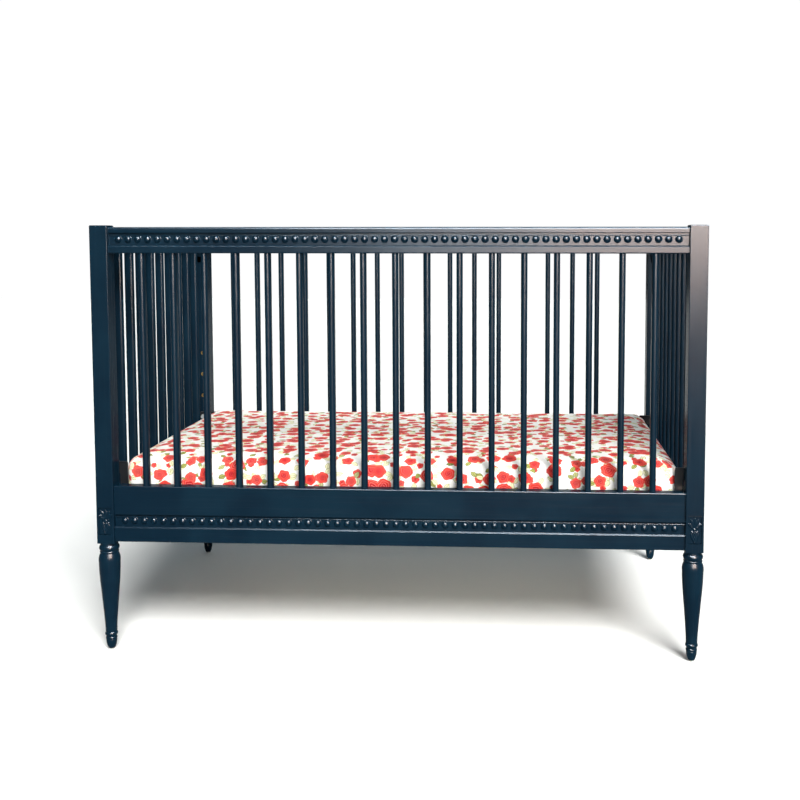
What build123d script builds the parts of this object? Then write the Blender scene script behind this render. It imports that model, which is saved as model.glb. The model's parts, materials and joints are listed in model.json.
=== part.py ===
from build123d import *

import os
from math import ceil, sqrt

# A baby crib: four square posts on turned legs, beaded front and back rails with carved blocks at the
# posts' feet, plain ends with rounded corners, upright slats all round, a sprung steel base that hangs
# on four pegs, and a mattress in a fitted sheet.
# Millimetres. +Z is up, -Y is the front, and the origin is on the floor under the crib's middle.

# --- Overall sizes ---
clear_width = 1320.0  # between the posts, left to right
clear_depth = 693.0  # between the posts, front to back
overall_height = 1000.0

# --- Posts ---
post_side = 41.0
post_edge_round = 1.5
post_top_round = 2.5
leg_height = 259.0  # floor to the posts' undersides

# --- Rails ---
rail_thick = 28.0
top_rail_height = 60.0
bottom_rail_height = 132.0
end_top_rail_height = 36.0
end_bottom_rail_height = 91.0
top_rail_drop = 4.0  # below the posts' tops
bottom_rail_rise = 3.0  # above the posts' undersides
top_edge_round = 6.0
rail_edge_round = 2.5
corner_radius = 60.0  # the rounded corners of the ends' openings
corner_land = 1.0  # what a corner block has left at its two tips

# --- Channel and beads in the front and back rails ---
channel_height = 28.0
channel_depth = 6.0
channel_bevel = 3.0
channel_lip = 1.5
top_channel_rise = 18.0  # above the top rail's underside
bottom_channel_rise = 36.0  # above the bottom rail's underside
beading_thick = 1.5
beading_gap = 0.2
bead_diameter = 16.0
bead_height = 6.5
bead_pitch = 22.75
bead_margin = 23.0  # from a post to the first bead's middle

# --- Slats ---
slat_width = 14.0
slat_depth = 23.0
slat_gap_limit = 60.0
mortise_depth = 12.0
mortise_clearance = 0.15
mortise_end_gap = 1.0

# --- Carved blocks in the posts ---
tablet_width = 32.0
tablet_height = 65.0
tablet_recess = 5.0
tablet_rise = 20.0  # above the posts' undersides
tablet_base = 2.2
tablet_gap = 0.2
boss_diameter = 9.0
boss_height = 2.6
petal_count = 6
petal_diameter = 4.6
petal_height = 1.6
leaf_relief = 1.8

# --- Leg turning: heights above the floor and diameters ---
glide_height = 3.0
glide_diameter = 14.0
glide_pin = (3.0, 12.0)  # diameter and length
foot_tip = 15.0
foot_top = (24.0, 24.6)
foot_belly = (11.0, 21.2)
low_ring = (24.5, 30.5, 24.0, 26.0)  # low, high, diameter at its edges and at its crown
ankle_groove = (31.0, 33.5, 22.8)
ankle_ring = (34.0, 42.5, 25.0, 29.0)
shaft = ((44.0, 26.6), (83.0, 30.8), (131.0, 38.6), (178.0, 46.4), (211.0, 48.9))
shoulder = ((225.0, 47.4), (232.5, 41.4))
thin_ring = (233.5, 238.5, 40.6, 43.2)
collar_ring = (240.0, 251.5, 41.0, 46.0)
leg_pad = 40.0  # diameter of the flat that meets the post

# --- Fasteners ---
stud_diameter = 8.0
stud_in_leg = 30.0
stud_in_post = 22.0
stud_clearance = 0.2
bolt_diameter = 6.0
bolt_clearance = 0.3
bolt_inset = 2.0  # the bolts run this far inside the rails' middle plane
bolt_reach = 38.0  # from a post into a rail, to the barrel nut's middle
bolt_tail = 7.0
bolt_head = (13.0, 3.5)  # diameter and height
counterbore = (15.0, 4.5)  # diameter and depth
hex_socket = (4.0, 2.2)  # across flats and depth
barrel_nut = (10.0, 12.0)  # diameter and length
barrel_clearance = 0.15
thread_clearance = 0.05
top_bolt_rise = 30.0  # above the top rail's underside
bottom_bolt_rises = (38.0, 104.0)  # above the bottom rail's underside
dowel_diameter = 8.0
dowel_length = 28.0
dowel_clearance = 0.1
dowel_end_gap = 1.0
top_dowel_rise = 10.0
bottom_dowel_rise = 71.0
end_bottom_dowel_rises = (56.0, 78.0)

# --- Base: a steel angle frame with a sprung wire deck ---
angle_leg = 25.0
angle_thick = 2.5
base_end_gap = 8.0  # from a post's inner plane to the frame's end
deck_top = 318.5  # what the mattress rests on, at the lowest height
deck_pitch = 80.0
wire_diameter = 3.2
wire_gap = 0.05
coil_outer = 9.4
coil_inner = 5.8
coil_length = 30.0
coil_cap = 1.8
coil_drop = 0.3  # below the frame's top
hook_diameter = 2.0
hook_hole = 3.0
hook_inset = 5.0  # the hook holes stand this far in from the angle's edge
hook_reach = 0.3  # the hook's tip stays this far below the frame's top

# --- Hangers, pegs and the rows of inserts that set the base's height ---
row_count = 4
row_pitch = 65.0
first_row = 430.0
hanger_thick = 3.0
hanger_gap = 0.3
hanger_arm = 18.0
hanger_side_gap = 2.0
hanger_round = 4.0
hanger_above = 15.0  # the plate stands this far above its peg
hanger_below = 12.0
hanger_past = 9.5  # past the peg's middle
hanger_foot = 1.5  # above the angle's lower edge
peg_diameter = 7.0
peg_clearance = 0.3
peg_head = (14.0, 3.0)  # diameter and height
peg_head_gap = 0.4
insert_outer = 10.0
insert_length = 13.0
rivet_diameter = 5.0
rivet_head = (9.0, 1.8)
rivet_clearance = 0.1
rivet_head_gap = 0.4  # beside the end angle
rivet_rises = (7.0, 18.0)  # above the angle's lower edge

# --- Mattress ---
mattress_thick = 134.0
mattress_end_gap = 3.0  # from the posts' inner planes
mattress_side_gap = 1.5
mattress_corner = 42.0
mattress_edge = 38.0
ticking_thick = 1.0
ticking_gap = 0.2
sheet_thick = 1.2
sheet_gap = 0.3
sheet_hem = 90.0  # how far the sheet turns under the mattress
padding_thick = 14.0  # the layers over and under the coils
border_wide = 18.0
pocket = (64.0, 0.6)  # a coil pocket's diameter and its cloth's thickness
pocket_pitch = 88.0

# --- Places worked out from the sizes above ---
half_width = clear_width / 2
half_depth = clear_depth / 2
post_x = half_width + post_side / 2
post_y = half_depth + post_side / 2
top_rail_top = overall_height - top_rail_drop
top_rail_low = top_rail_top - top_rail_height
bottom_rail_low = leg_height + bottom_rail_rise
bottom_rail_top = bottom_rail_low + bottom_rail_height
end_top_low = top_rail_top - end_top_rail_height
end_bottom_top = bottom_rail_low + end_bottom_rail_height
rail_face = post_y + rail_thick / 2
rail_inner = post_y - rail_thick / 2
channel_floor = rail_face - channel_depth
bolt_y = post_y - bolt_inset
base_half_y = half_depth - hanger_gap - hanger_thick
base_half_x = half_width - base_end_gap
angle_low = deck_top - angle_leg
plate_low = deck_top - angle_thick
long_wire_z = deck_top - coil_drop - coil_outer / 2
cross_wire_z = long_wire_z - wire_diameter - wire_gap
wire_half_x = base_half_x - angle_leg - angle_thick - coil_length
wire_half_y = base_half_y - angle_leg - angle_thick - coil_length

CORNERS = {
    "front_left": (-1, -1),
    "front_right": (1, -1),
    "back_left": (-1, 1),
    "back_right": (1, 1),
}


# --- Helpers ---
def block(x, y, z):
    """A box between the low and high value given for each axis."""
    size = [high - low for low, high in (x, y, z)]
    return Pos(*((low + high) / 2 for low, high in (x, y, z))) * Box(*size)


def bar(start, end, diameter):
    """A round bar from one point to another."""
    way = Vector(*end) - Vector(*start)
    plane = Plane(origin=start, z_dir=way)
    return plane * Cylinder(diameter / 2, way.length, align=(Align.CENTER, Align.CENTER, Align.MIN))


def at_corner(shape, side_x, side_y):
    """A shape made at the back right corner, mirrored to the corner with these signs."""
    if side_x < 0:
        shape = mirror(shape, about=Plane.YZ)
    if side_y < 0:
        shape = mirror(shape, about=Plane.XZ)
    return shape


def at_all_corners(shapes):
    """Copies of the shapes at all four corners."""
    return [at_corner(s, sx, sy) for sx, sy in CORNERS.values() for s in shapes]


def spread(span, limit):
    """Places that divide a span, centred on 0, into equal steps of at most limit."""
    steps = ceil(span / limit)
    return [span * (i / steps - 0.5) for i in range(1, steps)]


def save(name, shapes):
    """Writes one sub-part, a single shape or a list of separate solids."""
    shape = Compound(shapes) if isinstance(shapes, list) else shapes
    export_step(shape, f"parts/{name}.step")


slat_xs = spread(clear_width, slat_gap_limit + slat_width)
slat_ys = spread(clear_depth, slat_gap_limit + slat_width)
row_heights = [first_row + i * row_pitch for i in range(row_count)]
wire_ys = spread(2 * (base_half_y - angle_leg), deck_pitch)
wire_xs = spread(2 * (base_half_x - angle_leg), deck_pitch)


# --- Posts ---
def tablet_space():
    """What a carved block's recess takes out of the back right post's outer face."""
    low = leg_height + tablet_rise
    face = post_y + post_side / 2
    across = (post_x - tablet_width / 2, post_x + tablet_width / 2)
    return block(across, (face - tablet_recess, face + 1), (low, low + tablet_height))


def bolt_heights():
    """The height of each bolt that holds a front or back rail to a post."""
    rises = [bottom_rail_low + rise for rise in bottom_bolt_rises]
    return [top_rail_low + top_bolt_rise, *rises]


def rail_dowel_heights():
    """The height of each dowel between a front or back rail and a post."""
    return [top_rail_low + top_dowel_rise, bottom_rail_low + bottom_dowel_rise]


def end_dowel_heights():
    """The height of each dowel between an end rail and a post."""
    rises = [bottom_rail_low + rise for rise in end_bottom_dowel_rises]
    return [end_top_low + end_top_rail_height / 2, *rises]


def post():
    """A square post at the back right corner, bored for its leg, rails and pegs."""
    outer = (post_x - post_side / 2, post_x + post_side / 2)
    body = block(outer, (half_depth, half_depth + post_side), (leg_height, overall_height))
    body = fillet(body.edges().filter_by(Axis.Z), post_edge_round)
    body = fillet(body.faces().sort_by(Axis.Z)[-1].edges(), post_top_round)
    body -= tablet_space()
    body -= bar(
        (post_x, post_y, leg_height),
        (post_x, post_y, leg_height + stud_in_post + 1),
        stud_diameter + 2 * stud_clearance,
    )
    face = outer[1]
    hole = bolt_diameter + 2 * bolt_clearance
    for z in bolt_heights():
        body -= bar((half_width, bolt_y, z), (face, bolt_y, z), hole)
        body -= bar((face - counterbore[1], bolt_y, z), (face, bolt_y, z), counterbore[0])
    dowel_hole = dowel_diameter + 2 * dowel_clearance
    dowel_seat = dowel_length / 2 + dowel_end_gap
    for z in rail_dowel_heights():
        body -= bar((half_width, bolt_y, z), (half_width + dowel_seat, bolt_y, z), dowel_hole)
    for z in end_dowel_heights():
        body -= bar((post_x, half_depth, z), (post_x, half_depth + dowel_seat, z), dowel_hole)
    for z in row_heights:
        body -= bar((post_x, half_depth, z), (post_x, half_depth + insert_length, z), insert_outer)
    return body


def petal(turn):
    """One raised dot of the ring round the boss, turned from the top."""
    place = Rot(0, 0, turn) * Pos(0, (boss_diameter + petal_diameter) / 2 + 0.4, 0)
    return place * dome(petal_diameter, petal_height)


def dome(diameter, height):
    """A round cap that stands on the XY plane, with a little below it to join by."""
    radius = (diameter**2 / 4 + height**2) / (2 * height)
    skirt = 0.4
    ball = Pos(0, 0, height - radius) * Sphere(radius)
    return ball & Pos(0, 0, (height - skirt) / 2) * Box(2 * diameter, 2 * diameter, height + skirt)


def tablet():
    """A carved block: a boss in a ring of petals, a fan of leaves above and a tongue below."""
    leaf_root = boss_diameter / 2 + petal_diameter
    leaf_long = tablet_height / 2 - leaf_root - 2
    leaf = Pos(0, leaf_root + leaf_long / 2, 0) * Ellipse(leaf_long * 0.2, leaf_long / 2)
    relief = [Rot(0, 0, turn) * leaf for turn in (-34, 0, 34)]
    relief.append(Pos(0, -leaf_root - leaf_long / 2, 0) * Ellipse(leaf_long * 0.34, leaf_long / 2))
    outline = Rectangle(tablet_width - 2 * tablet_gap, tablet_height - 2 * tablet_gap)
    carving = extrude((Sketch() + relief) & outline, leaf_relief)
    for k in range(petal_count):
        carving += petal(360 * k / petal_count)
    carving += dome(boss_diameter, boss_height)
    base = Pos(0, 0, -tablet_base / 2) * Box(
        tablet_width - 2 * tablet_gap, tablet_height - 2 * tablet_gap, tablet_base
    )
    middle = leg_height + tablet_rise + tablet_height / 2
    face = post_y + post_side / 2 - tablet_recess + tablet_base
    return Plane(origin=(post_x, face, middle), x_dir=(-1, 0, 0), z_dir=(0, 1, 0)) * (base + carving)


# --- Legs ---
def bulge(ring):
    """The outline of a turned ring: its low edge, its crown and its high edge."""
    low, high, edge, crown = ring
    return ThreePointArc((edge / 2, low), (crown / 2, (low + high) / 2), (edge / 2, high))


def leg_outline():
    """The leg's half outline, as curves joined by straight steps, from its tip to its pad."""
    points = [(diameter / 2, z) for z, diameter in shaft]
    curves = [
        ThreePointArc(
            (foot_tip / 2, glide_height),
            (foot_belly[1] / 2, foot_belly[0]),
            (foot_top[1] / 2, foot_top[0]),
        ),
        bulge(low_ring),
        Line((ankle_groove[2] / 2, ankle_groove[0]), (ankle_groove[2] / 2, ankle_groove[1])),
        bulge(ankle_ring),
        Spline(*points, tangents=((0, 1), (0, 1))),
        ThreePointArc(points[-1], *((diameter / 2, z) for z, diameter in shoulder)),
        bulge(thin_ring),
        bulge(collar_ring),
        Line((leg_pad / 2, collar_ring[1] + 1), (leg_pad / 2, leg_height)),
    ]
    steps = [Line((0, glide_height), curves[0] @ 0)]
    for lower, upper in zip(curves, curves[1:]):
        if (lower @ 1 - upper @ 0).length > 1e-6:
            steps.append(Line(lower @ 1, upper @ 0))
    steps.append(Line(curves[-1] @ 1, (0, leg_height)))
    steps.append(Line((0, leg_height), (0, glide_height)))
    return curves + steps


def leg():
    """A turned leg at the back right corner, bored for its stud and its glide's pin."""
    outline = make_face(Plane.XZ * (Curve() + leg_outline()))
    body = Pos(post_x, post_y, 0) * revolve(outline, axis=Axis.Z)
    body -= bar(
        (post_x, post_y, leg_height - stud_in_leg - 1),
        (post_x, post_y, leg_height),
        stud_diameter + 2 * stud_clearance,
    )
    pin_top = glide_height + glide_pin[1] + 1
    return body - bar((post_x, post_y, 0), (post_x, post_y, pin_top), glide_pin[0] + 0.2)


def leg_stud():
    """The threaded stud that joins a leg to its post."""
    stud = bar(
        (post_x, post_y, leg_height - stud_in_leg),
        (post_x, post_y, leg_height + stud_in_post),
        stud_diameter,
    )
    return chamfer(stud.edges().filter_by(GeomType.CIRCLE), 0.8)


def foot_glide():
    """The nail-on glide under a leg."""
    disc = bar((post_x, post_y, 0), (post_x, post_y, glide_height), glide_diameter)
    disc = chamfer(disc.edges().sort_by(Axis.Z)[0], 0.6)
    pin_top = glide_height + glide_pin[1]
    return disc + bar((post_x, post_y, glide_height), (post_x, post_y, pin_top), glide_pin[0])


# --- Slats and their mortises ---
def slat(x, y, low, high, along_x, grow=0.0):
    """A slat of rounded section, or its mortise when it grows by a clearance."""
    section = SlotOverall(slat_depth + 2 * grow, slat_width + 2 * grow, rotation=0 if along_x else 90)
    return Pos(x, y, low) * extrude(section, high - low)


def slat_row(places, low, high, along_x):
    """The slats of one side, seated in the rails below and above."""
    return [
        slat(x, y, low - mortise_depth + mortise_end_gap, high + mortise_depth - mortise_end_gap, along_x)
        for x, y in places
    ]


def mortises(places, low, high, along_x):
    """What a row of slats takes out of the rail between these heights."""
    return [slat(x, y, low, high, along_x, mortise_clearance) for x, y in places]


back_places = [(x, post_y) for x in slat_xs]
right_places = [(post_x, y) for y in slat_ys]


# --- Front and back rails, made as the back ones ---
def long_rail(low, height, channel_rise, top_round):
    """A rail with a channel along its outer face, bored at both ends for its bolts and dowels."""
    channel_low = low + channel_rise
    channel_top = channel_low + channel_height
    corners = [
        (rail_inner, low, rail_edge_round),
        (rail_face, low, rail_edge_round),
        (rail_face, channel_low - channel_bevel, 0.6),
        (rail_face - channel_bevel, channel_low, 0.6),
        (channel_floor, channel_low, 0),
        (channel_floor, channel_top, 0),
        (rail_face - channel_lip, channel_top, 0),
        (rail_face, channel_top + channel_lip, 0),
        (rail_face, low + height, top_round),
        (rail_inner, low + height, rail_edge_round),
    ]
    points = [(y, z) for y, z, _ in corners]
    outline = FilletPolyline(*points, radius=[r for _, _, r in corners], close=True)
    section = make_face(Plane.YZ * outline)
    body = Pos(-half_width, 0, 0) * extrude(section, clear_width, dir=(1, 0, 0))
    cuts = []
    for z in (z for z in bolt_heights() if low < z < low + height):
        hole = bolt_diameter + 2 * bolt_clearance
        cuts.append(bar((half_width - bolt_reach - bolt_tail - 1, bolt_y, z), (half_width, bolt_y, z), hole))
        nut_hole = barrel_nut[0] + 2 * barrel_clearance
        nut_x = half_width - bolt_reach
        nut_end = bolt_y + barrel_nut[1] / 2
        cuts.append(bar((nut_x, rail_inner - 1, z), (nut_x, nut_end, z), nut_hole))
    for z in (z for z in rail_dowel_heights() if low < z < low + height):
        seat = half_width - dowel_length / 2 - dowel_end_gap
        cuts.append(bar((seat, bolt_y, z), (half_width, bolt_y, z), dowel_diameter + 2 * dowel_clearance))
    return body - cuts - [mirror(cut, about=Plane.YZ) for cut in cuts]


def top_rail():
    """The back top rail, with the slats' mortises in its underside."""
    body = long_rail(top_rail_low, top_rail_height, top_channel_rise, top_edge_round)
    return body - mortises(back_places, top_rail_low - 1, top_rail_low + mortise_depth, False)


def bottom_rail():
    """The back bottom rail, with the slats' mortises in its top."""
    body = long_rail(bottom_rail_low, bottom_rail_height, bottom_channel_rise, rail_edge_round)
    return body - mortises(back_places, bottom_rail_top - mortise_depth, bottom_rail_top + 1, False)


def beading(low):
    """The beaded strip for the channel whose lower edge is at this height."""
    length = clear_width - 2 * beading_gap
    base = block(
        (-length / 2, length / 2),
        (channel_floor, channel_floor + beading_thick),
        (low + beading_gap, low + channel_height - beading_gap),
    )
    span = clear_width - 2 * bead_margin
    steps = round(span / bead_pitch)
    cap = dome(bead_diameter, bead_height)
    middle = (0, channel_floor + beading_thick, low + channel_height / 2)
    face = Plane(origin=middle, x_dir=(1, 0, 0), z_dir=(0, 1, 0))
    beads = [face * Pos(span * (i / steps - 0.5), 0, 0) * cap for i in range(steps + 1)]
    return base + beads


# --- End rails, made as the right ones ---
def end_rail(low, high):
    """A plain rail between the right posts, bored at both ends for its dowels."""
    body = block((post_x - rail_thick / 2, post_x + rail_thick / 2), (-half_depth, half_depth), (low, high))
    long_edges = body.edges().filter_by(Axis.Y)
    body = fillet(long_edges, rail_edge_round)
    seat = half_depth - dowel_length / 2 - dowel_end_gap
    for z in (z for z in end_dowel_heights() if low < z < high):
        hole = bar((post_x, seat, z), (post_x, half_depth, z), dowel_diameter + 2 * dowel_clearance)
        body -= [hole, mirror(hole, about=Plane.XZ)]
    return body


def end_top_rail():
    """The right top rail, with the slats' mortises in its underside."""
    body = end_rail(end_top_low, top_rail_top)
    return body - mortises(right_places, end_top_low - 1, end_top_low + mortise_depth, True)


def end_bottom_rail():
    """The right bottom rail, with the slats' mortises in its top."""
    body = end_rail(bottom_rail_low, end_bottom_top)
    return body - mortises(right_places, end_bottom_top - mortise_depth, end_bottom_top + 1, True)


def corner_blocks():
    """The four blocks that round the corners of the right end's opening."""
    side = corner_radius + corner_land
    blocks = []
    for z, up in ((end_top_low, -1), (end_bottom_top, 1)):
        heights = sorted((z, z + up * side))
        across = (post_x - rail_thick / 2, post_x + rail_thick / 2)
        body = block(across, (half_depth - side, half_depth), heights)
        centre = (half_depth - side, z + up * side)
        hollow = bar((post_x - rail_thick, *centre), (post_x + rail_thick, *centre), 2 * corner_radius)
        blocks += [body - hollow, mirror(body - hollow, about=Plane.XZ)]
    return blocks


# --- Fasteners of the frame ---
def rail_bolt(z):
    """A button-head bolt through the back right post into a rail, at this height."""
    seat = post_x + post_side / 2 - counterbore[1]
    shank = bar((half_width - bolt_reach - bolt_tail, bolt_y, z), (seat, bolt_y, z), bolt_diameter)
    head = bar((seat, bolt_y, z), (seat + bolt_head[1], bolt_y, z), bolt_head[0])
    head = fillet(head.edges().sort_by(Axis.X)[-1], 1.5)
    socket = extrude(RegularPolygon(hex_socket[0] / sqrt(3), 6), hex_socket[1])
    return shank + head - Pos(seat + bolt_head[1] - hex_socket[1], bolt_y, z) * Rot(0, 90, 0) * socket


def barrel_nut_at(z):
    """The cross nut that a rail bolt screws into."""
    x = half_width - bolt_reach
    nut = bar((x, bolt_y - barrel_nut[1] / 2, z), (x, bolt_y + barrel_nut[1] / 2, z), barrel_nut[0])
    bore = bolt_diameter + 2 * thread_clearance
    return nut - bar((x - barrel_nut[0], bolt_y, z), (x + barrel_nut[0], bolt_y, z), bore)


def rail_dowel(z):
    """A wooden dowel between the back right post and a back rail."""
    half = dowel_length / 2
    return bar((half_width - half, bolt_y, z), (half_width + half, bolt_y, z), dowel_diameter)


def end_dowel(z):
    """A wooden dowel between the back right post and an end rail."""
    half = dowel_length / 2
    return bar((post_x, half_depth - half, z), (post_x, half_depth + half, z), dowel_diameter)


def height_insert(z):
    """A threaded insert in the back right post, for the peg at one height."""
    body = bar((post_x, half_depth, z), (post_x, half_depth + insert_length, z), insert_outer)
    bore = bolt_diameter + 2 * thread_clearance
    return body - bar((post_x, half_depth, z), (post_x, half_depth + insert_length, z), bore)


def peg():
    """The shouldered screw that a hanger hooks over, in the lowest insert."""
    under_head = half_depth - hanger_gap - hanger_thick - peg_head_gap
    thread_end = half_depth + insert_length - 1
    head_end = under_head - peg_head[1]
    thread = bar((post_x, half_depth, first_row), (post_x, thread_end, first_row), bolt_diameter)
    neck = bar((post_x, under_head, first_row), (post_x, half_depth, first_row), peg_diameter)
    head = bar((post_x, head_end, first_row), (post_x, under_head, first_row), peg_head[0])
    head = fillet(head.edges().sort_by(Axis.Y)[0], 1.2)
    return thread + neck + head


# --- Base ---
def rivet_places():
    """(x, z) of each rivet through a hanger and the side angle."""
    x = base_half_x - angle_thick - rivet_head[0] / 2 - rivet_head_gap
    return [(x, angle_low + rise) for rise in rivet_rises]


def side_angle():
    """The steel angle along the back of the base, pierced for its spring hooks and rivets."""
    span = (-base_half_x, base_half_x)
    body = block(span, (base_half_y - angle_thick, base_half_y), (angle_low, deck_top))
    body += block(span, (base_half_y - angle_leg, base_half_y), (plate_low, deck_top))
    hook_y = base_half_y - angle_leg + hook_inset
    holes = [bar((x, hook_y, plate_low - 1), (x, hook_y, deck_top + 1), hook_hole) for x in wire_xs]
    for x, z in rivet_places():
        for side in (-1, 1):
            low, high = base_half_y - angle_thick - 1, base_half_y + 1
            holes.append(bar((side * x, low, z), (side * x, high, z), rivet_diameter + 2 * rivet_clearance))
    return body - holes


def end_angle():
    """The steel angle at the base's right end, welded between the side angles."""
    inside = base_half_y - angle_thick
    body = block((base_half_x - angle_thick, base_half_x), (-inside, inside), (angle_low, plate_low))
    inside = base_half_y - angle_leg
    body += block((base_half_x - angle_leg, base_half_x), (-inside, inside), (plate_low, deck_top))
    hook_x = base_half_x - angle_leg + hook_inset
    return body - [bar((hook_x, y, plate_low - 1), (hook_x, y, deck_top + 1), hook_hole) for y in wire_ys]


def hanger():
    """The plate that hooks the base's back right corner over its peg."""
    arm_out = half_width - hanger_side_gap
    arm_in = arm_out - hanger_arm
    flag_low, flag_top = first_row - hanger_below, first_row + hanger_above
    flag_out = post_x + hanger_past
    points = [
        (arm_in, angle_low + hanger_foot),
        (arm_out, angle_low + hanger_foot),
        (arm_out, flag_low),
        (flag_out, flag_low),
        (flag_out, flag_top),
        (arm_in, flag_top),
    ]
    outline = FilletPolyline(*points, radius=hanger_round, close=True)
    plate = extrude(make_face(Plane.XZ * outline), hanger_thick, dir=(0, 1, 0))
    slot_radius = peg_diameter / 2 + peg_clearance
    thick = (-1, hanger_thick + 1)
    slot = bar((post_x, thick[0], first_row), (post_x, thick[1], first_row), 2 * slot_radius)
    slot += block((post_x - slot_radius, post_x + slot_radius), thick, (flag_low - 1, first_row))
    holes = [
        bar((x, thick[0], z), (x, thick[1], z), rivet_diameter + 2 * rivet_clearance)
        for x, z in rivet_places()
    ]
    return Pos(0, base_half_y, 0) * (plate - slot - holes)


def hanger_rivet(x, z):
    """A rivet through a hanger and the side angle."""
    inside, outside = base_half_y - angle_thick, base_half_y + hanger_thick
    rivet = bar((x, inside, z), (x, outside, z), rivet_diameter)
    rivet += bar((x, inside - rivet_head[1], z), (x, inside, z), rivet_head[0])
    return rivet + bar((x, outside, z), (x, outside + rivet_head[1], z), rivet_head[0])


def deck_spring(z):
    """A spring along +X from its wire's end at 0, with a hook up through the frame's edge."""
    body = bar((0, 0, z), (coil_length, 0, z), coil_outer)
    body -= bar((coil_cap, 0, z), (coil_length - coil_cap, 0, z), coil_inner)
    hook_x = coil_length + angle_thick + hook_inset
    body += bar((coil_length, 0, z), (hook_x, 0, z), hook_diameter)
    return body + bar((hook_x, 0, z - hook_diameter / 2), (hook_x, 0, deck_top - hook_reach), hook_diameter)


def deck_springs():
    """The springs at both ends of every wire."""
    along = deck_spring(long_wire_z)
    across = Rot(0, 0, 90) * deck_spring(cross_wire_z)
    springs = [Pos(wire_half_x, y, 0) * along for y in wire_ys]
    springs += [mirror(spring, about=Plane.YZ) for spring in springs]
    others = [Pos(x, wire_half_y, 0) * across for x in wire_xs]
    return springs + others + [mirror(spring, about=Plane.XZ) for spring in others]


# --- Mattress ---
def pad(low, inset):
    """A cushion with rounded corners and edges, this far inside the sheet's outer face."""
    end_x = half_width - mattress_end_gap + sheet_gap + sheet_thick - inset
    end_y = half_depth - mattress_side_gap + sheet_gap + sheet_thick - inset
    thick = mattress_thick + 2 * (sheet_gap + sheet_thick - inset)
    body = block((-end_x, end_x), (-end_y, end_y), (low + inset, low + inset + thick))
    body = fillet(body.edges().filter_by(Axis.Z), mattress_corner + sheet_gap + sheet_thick - inset)
    flats = body.faces().filter_by(Axis.Z)
    return fillet(flats.edges(), mattress_edge + sheet_gap + sheet_thick - inset)


def fitted_sheet():
    """The sheet over the mattress's top and sides, turned under all round."""
    shell = pad(deck_top, 0) - pad(deck_top, sheet_thick)
    open_x = half_width - mattress_end_gap - sheet_hem
    open_y = half_depth - mattress_side_gap - sheet_hem
    return shell - block((-open_x, open_x), (-open_y, open_y), (deck_top - 1, deck_top + mattress_edge))


def mattress_filling(inset):
    """The padding layers, the border and the coil pockets inside the ticking, by name."""
    whole = pad(deck_top, inset)
    box = whole.bounding_box()
    reach = box.max.X
    middle = (box.min.Z + padding_thick, box.max.Z - padding_thick)
    everywhere = (-reach, reach)
    core_x, core_y = box.max.X - border_wide, box.max.Y - border_wide
    core = block((-core_x, core_x), (-core_y, core_y), middle)
    core = fillet(core.edges().filter_by(Axis.Z), mattress_corner - border_wide)
    diameter, cloth = pocket
    sleeve = bar((0, 0, middle[0]), (0, 0, middle[1]), diameter)
    sleeve -= bar((0, 0, middle[0]), (0, 0, middle[1]), diameter - 2 * cloth)
    places = [(x, y) for x in spread(2 * core_x, pocket_pitch) for y in spread(2 * core_y, pocket_pitch)]
    return {
        "mattress_bottom_pad": whole & block(everywhere, everywhere, (box.min.Z, middle[0])),
        "mattress_top_pad": whole & block(everywhere, everywhere, (middle[1], box.max.Z)),
        "mattress_border": (whole & block(everywhere, everywhere, middle)) - core,
        "mattress_coil_pockets": [Pos(x, y, 0) * sleeve for x, y in places],
    }


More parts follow.
